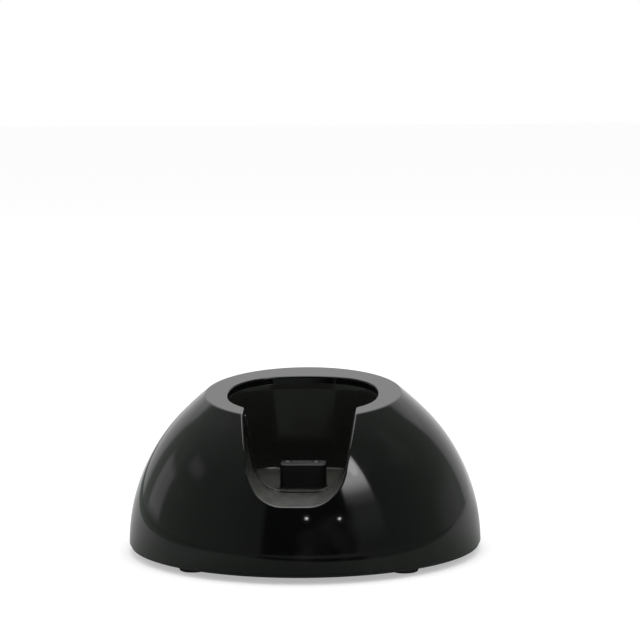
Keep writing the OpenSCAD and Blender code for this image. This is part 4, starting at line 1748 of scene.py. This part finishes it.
@dataclass
class SprungContact:
    """One contact pin with its spring."""

    side: Side
    at: tuple
    pin_r: float = 1.3
    collar_r: float = 1.85
    tip_z: float = 30.85
    tip_h: float = 0.5
    collar_z: float = 19.7
    collar_h: float = 1.0
    stem_r: float = 1.19
    stem_l: float = 2.1
    spring_r: float = 1.62
    wire_r: float = 0.18
    low_z: float = 15.5
    turns: float = 4.0
    turn_steps: int = 28
    travel: float = 1.5

    def pin(self) -> bpy.types.Object:
        """Makes the pin: a domed tip, a shank, a collar and a stem.

        Returns:
            The pin.
        """
        sphere = (self.pin_r**2 + self.tip_h**2) / (2 * self.tip_h)
        profile = rounded_profile(
            [
                (AXIS_R, self.collar_z - self.stem_l, 0),
                (self.stem_r, self.collar_z - self.stem_l, 0.25),
                (self.stem_r, self.collar_z, 0),
                (self.collar_r, self.collar_z, 0.12),
                (self.collar_r, self.collar_z + self.collar_h, 0.12),
                (self.pin_r, self.collar_z + self.collar_h, 0),
                (self.pin_r, self.tip_z - self.tip_h - 0.1, 0),
            ],
            4,
        )
        rows, pinch = 9, 0.02
        for k in range(rows):
            r = self.pin_r * (1 - k / rows)
            drop = sphere - math.sqrt(sphere**2 - r * r)
            profile.append((max(r - pinch, AXIS_R), self.tip_z - drop))
        profile.append((AXIS_R, self.tip_z))
        piece = turned_piece(f"pin_{self.side.value}", profile, self.at)
        sharpen(piece, 40)
        return piece

    def spring(self) -> bpy.types.Object:
        """Makes the compression spring as a coiled tube.

        Returns:
            The spring.
        """
        steps, sides = int(self.turns * self.turn_steps), 12
        turn = np.linspace(0, 2 * math.pi * self.turns, steps + 1)
        low, high = self.low_z + self.wire_r, self.collar_z - self.wire_r
        path = np.stack(
            [
                self.at[0] + self.spring_r * np.cos(turn),
                self.at[1] + self.spring_r * np.sin(turn),
                low + (high - low) * turn / turn[-1],
            ],
            -1,
        )
        out = np.stack([np.cos(turn), np.sin(turn), np.zeros_like(turn)], -1)
        up = np.array([0.0, 0.0, 1.0])
        around = np.arange(sides) * 2 * math.pi / sides
        rings = [
            p + self.wire_r * (np.outer(np.cos(around), o) + np.outer(np.sin(around), up))
            for p, o in zip(path, out)
        ]
        return ring_piece(f"spring_{self.side.value}", np.array(rings), Ends.CAPPED)

    def build(self, paints: Paints) -> None:
        """Makes the pin and the spring, dresses them and lets them move.

        Args:
            paints: The finishes.
        """
        side = self.side.value
        paints.place(self.pin(), FinishName.PIN, f"pin_{side}", f"contact_pin_{side}")
        spring = self.spring()
        paints.place(spring, FinishName.SPRING, "stand", f"contact_spring_{side}")
        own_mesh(spring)


@dataclass
class Feet:
    """Four rubber feet with round lower edges, in pockets of the base plate."""

    radius: float = 4.2
    circle_r: float = 47.7
    height: float = 3.0
    edge_r: float = 0.7
    sole_r: float = 0.62
    dish_r: float = 0.55
    dish: float = 0.12
    places: tuple = (
        ("foot_front_left", 228),
        ("foot_front_right", 312),
        ("foot_back_left", 132),
        ("foot_back_right", 48),
    )

    def build(self, paints: Paints) -> None:
        """Makes and dresses the feet.

        Args:
            paints: The finishes.
        """
        for node, angle in self.places:
            a = math.radians(angle)
            at = (self.circle_r * math.cos(a), self.circle_r * math.sin(a))
            profile = rounded_profile(
                [
                    (AXIS_R, self.dish, 0),
                    (self.radius * self.dish_r, self.dish, 0.2),
                    (self.radius * self.sole_r, 0.0, 0.15),
                    (self.radius, 0.0, self.edge_r),
                    (self.radius, self.height, 0.2),
                    (AXIS_R, self.height, 0),
                ]
            )
            piece = turned_piece(node.replace("foot", "rubber_foot"), profile, at, 72)
            sharpen(piece, 50)
            paints.place(piece, FinishName.FOOT, "stand", node)


class PackedParts:
    """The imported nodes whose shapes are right, with better materials."""

    finish_of = {
        "liner_screws": FinishName.SCREW,
        "spring_seat_left": FinishName.BRASS,
        "spring_seat_right": FinishName.BRASS,
        "contact_board": FinishName.BOARD,
        "contact_board_screws": FinishName.SCREW,
        "lead_positive": FinishName.RED,
        "lead_negative": FinishName.BLACK,
        "lead_plug": FinishName.PLUG,
        "lead_header": FinishName.PLUG,
        "main_board": FinishName.BOARD,
        "main_board_screws": FinishName.SCREW,
        "inlet_housing": FinishName.INLET,
        "inlet_centre_pin": FinishName.NICKEL,
        "inlet_side_contact": FinishName.BRASS,
        "smoothing_capacitor": FinishName.CAN,
        "choke": FinishName.CHIP,
        "charge_controller": FinishName.CHIP,
        "diode": FinishName.CHIP,
        "chip_resistors": FinishName.CHIP,
        "ballast_plate": FinishName.BALLAST,
        "ballast_screws": FinishName.SCREW,
        "base_plate": FinishName.BASE,
        "base_screws": FinishName.SCREW,
    }

    def build(self, paints: Paints) -> None:
        """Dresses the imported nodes.

        Args:
            paints: The finishes.
        """
        for node, finish in self.finish_of.items():
            paints.dress(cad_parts[node], finish)
            LOG.info("%s keeps its packed shape, %s", node, finish.value)


# Studio and camera


@dataclass(frozen=True)
class Patch:
    """A patch of the room: limits and softness of its headings and its heights, and its level."""

    headings: tuple
    heights: tuple
    level: float


class Room(NodeSums):
    """The table and the room, shared by the floor's and the world's material.

    Headings are in degrees from the front, positive to the right, and heights are those of
    the direction, one straight up.
    """

    left_headings = (-150.0, -45.0, 15.0)
    left_level = 0.05
    front_heading = 6.0
    streak = Patch((-127.0, -109.5, 2.5), (0.04, 0.34, 0.04), 0.35)
    cloud = Patch((-103.0, -86.0, 5.0), (0.47, 0.56, 0.04), 0.22)
    haze = Patch((33.0, 57.0, 3.0), (0.2, 0.6, 0.15), 0.13)
    glow = Patch((33.0, 55.8, 1.2), (0.43, 0.83, 0.02), 1.0)
    right_headings = (104.0, 135.0, 8.0)
    right_level = 0.09

    def __init__(self, tree: bpy.types.NodeTree) -> None:
        """Starts in a node tree, with its light path.

        Args:
            tree: The node tree.
        """
        super().__init__(tree)
        self.path = self.nodes.new("ShaderNodeLightPath").outputs

    def span(self, value: object, low: float, high: float, start: float, end: float) -> object:
        """Maps a value smoothly from one range to another.

        Args:
            value: Value that is mapped.
            low: Start of its range.
            high: End of its range.
            start: Result at the start.
            end: Result at the end.

        Returns:
            The mapped value.
        """
        return self.ramp(value, (low, high), (start, end), Curve.SMOOTH)

    def add(self, *values: object) -> object:
        """Adds several values."""
        total = values[0]
        for value in values[1:]:
            total = self.sum(total, value)
        return total

    def rest(self, value: object) -> object:
        """Gives what a share leaves of one."""
        return self.sum(1.0, self.times(value, -1.0))

    def mirrored(self) -> object:
        """Tells whether a reflection or a clear piece shows the surroundings."""
        return self.node("MAXIMUM", self.path["Is Glossy Ray"], self.path["Is Transmission Ray"])

    def colour(self, level: object) -> object:
        """Gives a grey its colour: dim parts of the room are a little green in reflections.

        Args:
            level: The grey.

        Returns:
            The colour.
        """
        cast = self.span(level, 0.2, 0.42, -0.12, 0.0)
        side = self.times(level, self.sum(1.0, self.times(self.mirrored(), cast)))
        mixed = self.nodes.new("ShaderNodeCombineColor")
        for socket, value in zip(mixed.inputs, (side, level, side)):
            self.links.new(value, socket)
        return mixed.outputs[0]

    def azimuth(self, x: object, y: object) -> object:
        """Gives the heading of a place or direction."""
        return self.times(self.node("ARCTAN2", x, self.times(y, -1.0)), math.degrees(1.0))

    def window(self, value: object, limits: tuple) -> object:
        """Gives one between two limits and zero outside, with soft edges.

        Args:
            value: Value that is looked at.
            limits: Lower and upper limit, and half the width of a soft edge.

        Returns:
            A value from zero to one.
        """
        low, high, soft = limits
        rise = self.span(value, low - soft, low + soft, 0.0, 1.0)
        return self.times(rise, self.span(value, high - soft, high + soft, 1.0, 0.0))

    def patch(self, heading: object, z: object, patch: Patch) -> object:
        """Gives a patch's brightness.

        Args:
            heading: The heading.
            z: The height.
            patch: The patch.

        Returns:
            The brightness.
        """
        shape = self.times(self.window(heading, patch.headings), self.window(z, patch.heights))
        return self.times(shape, patch.level)

    def left(self, heading: object) -> object:
        """Gives how much brighter the left side is."""
        return self.times(self.window(heading, self.left_headings), self.left_level)

    def table(self, heading: object) -> object:
        """Gives the white sheet's brightness: dim in front, paler behind and to the left.

        Args:
            heading: The heading.

        Returns:
            The sheet's brightness.
        """
        away = self.node("ABSOLUTE", heading)
        front = self.span(away, 0.0, 50.0, 0.16, 0.245)
        side = self.span(away, 70.0, 150.0, 0.0, 0.24)
        behind = self.sum(side, self.span(away, 135.0, 165.0, 0.0, 0.3))
        return self.add(front, behind, self.left(heading))

    def room(self, heading: object) -> object:
        """Gives the room's brightness at eye level: dark in front, dim at the sides.

        Args:
            heading: The heading.

        Returns:
            The room's brightness.
        """
        away = self.node("ABSOLUTE", heading)
        off = self.node("ABSOLUTE", self.sum(heading, -self.front_heading))
        dark = self.span(off, 28.0, 34.0, 0.005, 0.15)
        return self.add(dark, self.span(away, 50.0, 135.0, 0.0, 0.09), self.left(heading))

    def backdrop(self, heading: object, z: object) -> object:
        """Gives the brightness of the white backdrop behind the stand.

        Args:
            heading: The heading.
            z: The height.

        Returns:
            The brightness.
        """
        away = self.node("ABSOLUTE", heading)
        fold = self.span(z, 0.386, 0.398, 0.0, 0.1)
        level = self.sum(self.span(away, 128.0, 172.0, 0.2, 0.66), fold)
        return self.times(self.span(away, 137.0, 142.0, 0.0, 1.0), level)

    def walls(self, heading: object, z: object) -> object:
        """Gives the brightness above the table: the room, its lamps and a white backdrop.

        Args:
            heading: The heading.
            z: The height.

        Returns:
            The brightness.
        """
        low = self.span(z, 0.15, 0.35, 1.0, 0.0)
        right = self.times(self.window(heading, self.right_headings), low)
        fade = self.sum(self.span(z, 0.43, 0.6, 0.0, 0.8), self.span(z, 0.53, 0.7, 0.0, 4.3))
        return self.add(
            self.room(heading),
            self.span(z, 0.5, 1.0, 0.0, 0.06),
            self.backdrop(heading, z),
            self.patch(heading, z, self.streak),
            self.patch(heading, z, self.cloud),
            self.times(right, self.right_level),
            self.patch(heading, z, self.haze),
            self.times(self.patch(heading, z, self.glow), fade),
        )


@dataclass(frozen=True)
class Lamp:
    """A soft lamp, by its heading and height in degrees and its distance from the stand."""

    heading: float
    height: float
    far: float
    size: tuple
    power: float

    def build(self, name: str) -> None:
        """Adds the lamp.

        Args:
            name: Name of the lamp.
        """
        data = bpy.data.lights.new(name, "AREA")
        data.shape = "ELLIPSE"
        data.size, data.size_y = self.size
        data.energy = self.power
        lamp = bpy.data.objects.new(name, data)
        turn, rise = math.radians(self.heading), math.radians(self.height)
        flat = math.cos(rise)
        way = Vector((math.sin(turn) * flat, -math.cos(turn) * flat, math.sin(rise)))
        lamp.location = Vector((0, 0, 0.03)) + way * self.far
        lamp.rotation_mode = "QUATERNION"
        lamp.rotation_quaternion = (-way).to_track_quat("-Z", "Y")
        bpy.context.scene.collection.objects.link(lamp)


@dataclass
class Studio:
    """A pale floor, a white backdrop, soft lamps and the camera of the photograph."""

    camera_at: tuple = (0.04053, -0.7031, 0.14515)
    camera_way: tuple = (-0.04998, 0.99344, -0.10285)
    camera_roll: float = -0.373
    lens: float = 126.755
    ambient: float = 0.96
    glow: float = 0.4
    floor_half: float = 8.0
    sheet_way: tuple = (0.503, -0.864)
    sheet_edge: float = 0.147
    sheet_soft: float = 0.002
    sheet_left: float = -0.25
    sheet_left_soft: float = 0.01
    table_start: float = 0.24
    table_fade: float = 0.08
    table_level: float = 0.16
    room_share: float = 0.8
    lamps: tuple = (
        ("overhead_softbox", Lamp(180.0, 85.0, 1.1, (0.9, 0.9), 5.0)),
        ("right_softbox", Lamp(48.0, 48.5, 1.33, (0.13, 0.26), 0.17)),
        ("front_lamp", Lamp(4.3, 21.3, 1.33, (0.045, 0.03), 0.06)),
        ("side_lamp", Lamp(26.3, 20.0, 1.33, (0.045, 0.03), 0.05)),
    )

    def camera(self) -> None:
        """Adds the camera."""
        data = bpy.data.cameras.new("camera")
        data.sensor_width = 36.0
        data.lens = self.lens
        data.clip_start, data.clip_end = 0.01, 100.0
        camera = bpy.data.objects.new("camera", data)
        turn = Vector(self.camera_way).to_track_quat("-Z", "Y").to_matrix().to_4x4()
        roll = Matrix.Rotation(math.radians(self.camera_roll), 4, "Z")
        camera.matrix_world = Matrix.Translation(self.camera_at) @ turn @ roll
        bpy.context.scene.collection.objects.link(camera)
        bpy.context.scene.camera = camera

    def sheet_share(self, room: Room, x: object, across: object) -> object:
        """Tells where the white sheet doesn't reach: beyond its front and its left edge.

        Args:
            room: The floor's nodes.
            x: Place along X.
            across: Distance towards the sheet's front edge.

        Returns:
            A value from zero on the sheet to one beyond it.
        """
        edge, soft, left = self.sheet_edge, self.sheet_soft, self.sheet_left
        front = room.span(across, edge - soft, edge + soft, 0.0, 1.0)
        aside = room.span(x, left, left + self.sheet_left_soft, 1.0, 0.0)
        return room.node("MAXIMUM", front, aside)

    def tone(self, room: Room) -> object:
        """Gives the floor's brightness in reflections: the sheet, the table and the dim room.

        Args:
            room: The floor's nodes.

        Returns:
            The brightness.
        """
        x, y, _ = room.parts("Object")
        heading = room.azimuth(x, y)
        across = room.sum(room.times(x, self.sheet_way[0]), room.times(y, self.sheet_way[1]))
        beyond = self.sheet_share(room, x, across)
        sheet = room.times(room.rest(beyond), room.table(heading))
        start, level = self.table_start, self.table_level
        table = room.span(across, start, start + self.table_fade, 0.0, level)
        bare = room.node("MAXIMUM", table, room.times(room.room(heading), self.room_share))
        return room.sum(sheet, room.times(beyond, bare))

    def floor(self) -> None:
        """Adds the pale table, which is dim in front of the part where reflections show it."""
        far = self.floor_half
        corners = [(-far, -far, 0), (far, -far, 0), (far, far, 0), (-far, far, 0)]
        mesh = bpy.data.meshes.new("floor")
        mesh.from_pydata(corners, [], [(0, 1, 2, 3)])
        floor = bpy.data.objects.new("floor", mesh)
        bpy.context.scene.collection.objects.link(floor)
        material = bpy.data.materials.new("pale_table")
        material.use_nodes = True
        room = Room(material.node_tree)
        shader = material.node_tree.nodes["Principled BSDF"].inputs
        shader["Roughness"].default_value = 1.0
        shader["Specular IOR Level"].default_value = 0.0
        shader["Emission Color"].default_value = (1, 1, 1, 1)
        seen = room.path["Is Camera Ray"]
        dimmed = room.times(room.mirrored(), room.sum(self.tone(room), -1.0))
        tone = room.sum(room.sum(1.0, dimmed), room.times(seen, -self.glow))
        room.links.new(room.times(seen, self.glow), shader["Emission Strength"])
        room.links.new(room.colour(tone), shader["Base Color"])
        mesh.materials.append(material)

    def world(self) -> None:
        """Adds the surroundings: white to the camera, and a dim room in reflections."""
        world = bpy.data.worlds.new("studio")
        bpy.context.scene.world = world
        world.use_nodes = True
        world.node_tree.nodes.clear()
        room = Room(world.node_tree)
        x, y, z = room.parts("Generated")
        walls = room.walls(room.azimuth(x, y), z)
        glossy = room.mirrored()
        others = room.times(room.rest(glossy), self.ambient)
        level = room.sum(room.times(glossy, walls), others)
        level = room.node("MAXIMUM", level, room.path["Is Camera Ray"])
        shade_node = room.nodes.new("ShaderNodeBackground")
        output = room.nodes.new("ShaderNodeOutputWorld")
        room.links.new(room.colour(level), shade_node.inputs["Color"])
        room.links.new(shade_node.outputs[0], output.inputs["Surface"])

    def build(self) -> None:
        """Sets up the whole studio."""
        self.camera()
        self.floor()
        self.world()
        for name, lamp in self.lamps:
            lamp.build(name)
        bpy.context.scene.view_settings.view_transform = "Standard"


def main() -> None:
    """Builds the stand, piece by piece, and the studio round it."""
    logging.basicConfig(level=logging.INFO, format="%(name)s: %(message)s")
    paints = Paints()
    paints.place(Dome().build(), FinishName.SHELL, "stand", "dome_shell")
    paints.place(Well().build(), FinishName.LINER, "stand", "well_liner")
    block = ContactBlock()
    paints.place(block.build(), FinishName.BLOCK, "stand", "contact_block")
    for side, at in zip(Side, block.pins):
        SprungContact(side, at).build(paints)
    Feet().build(paints)
    PackedParts().build(paints)
    Studio().build()


if __name__ == "__main__":
    main()
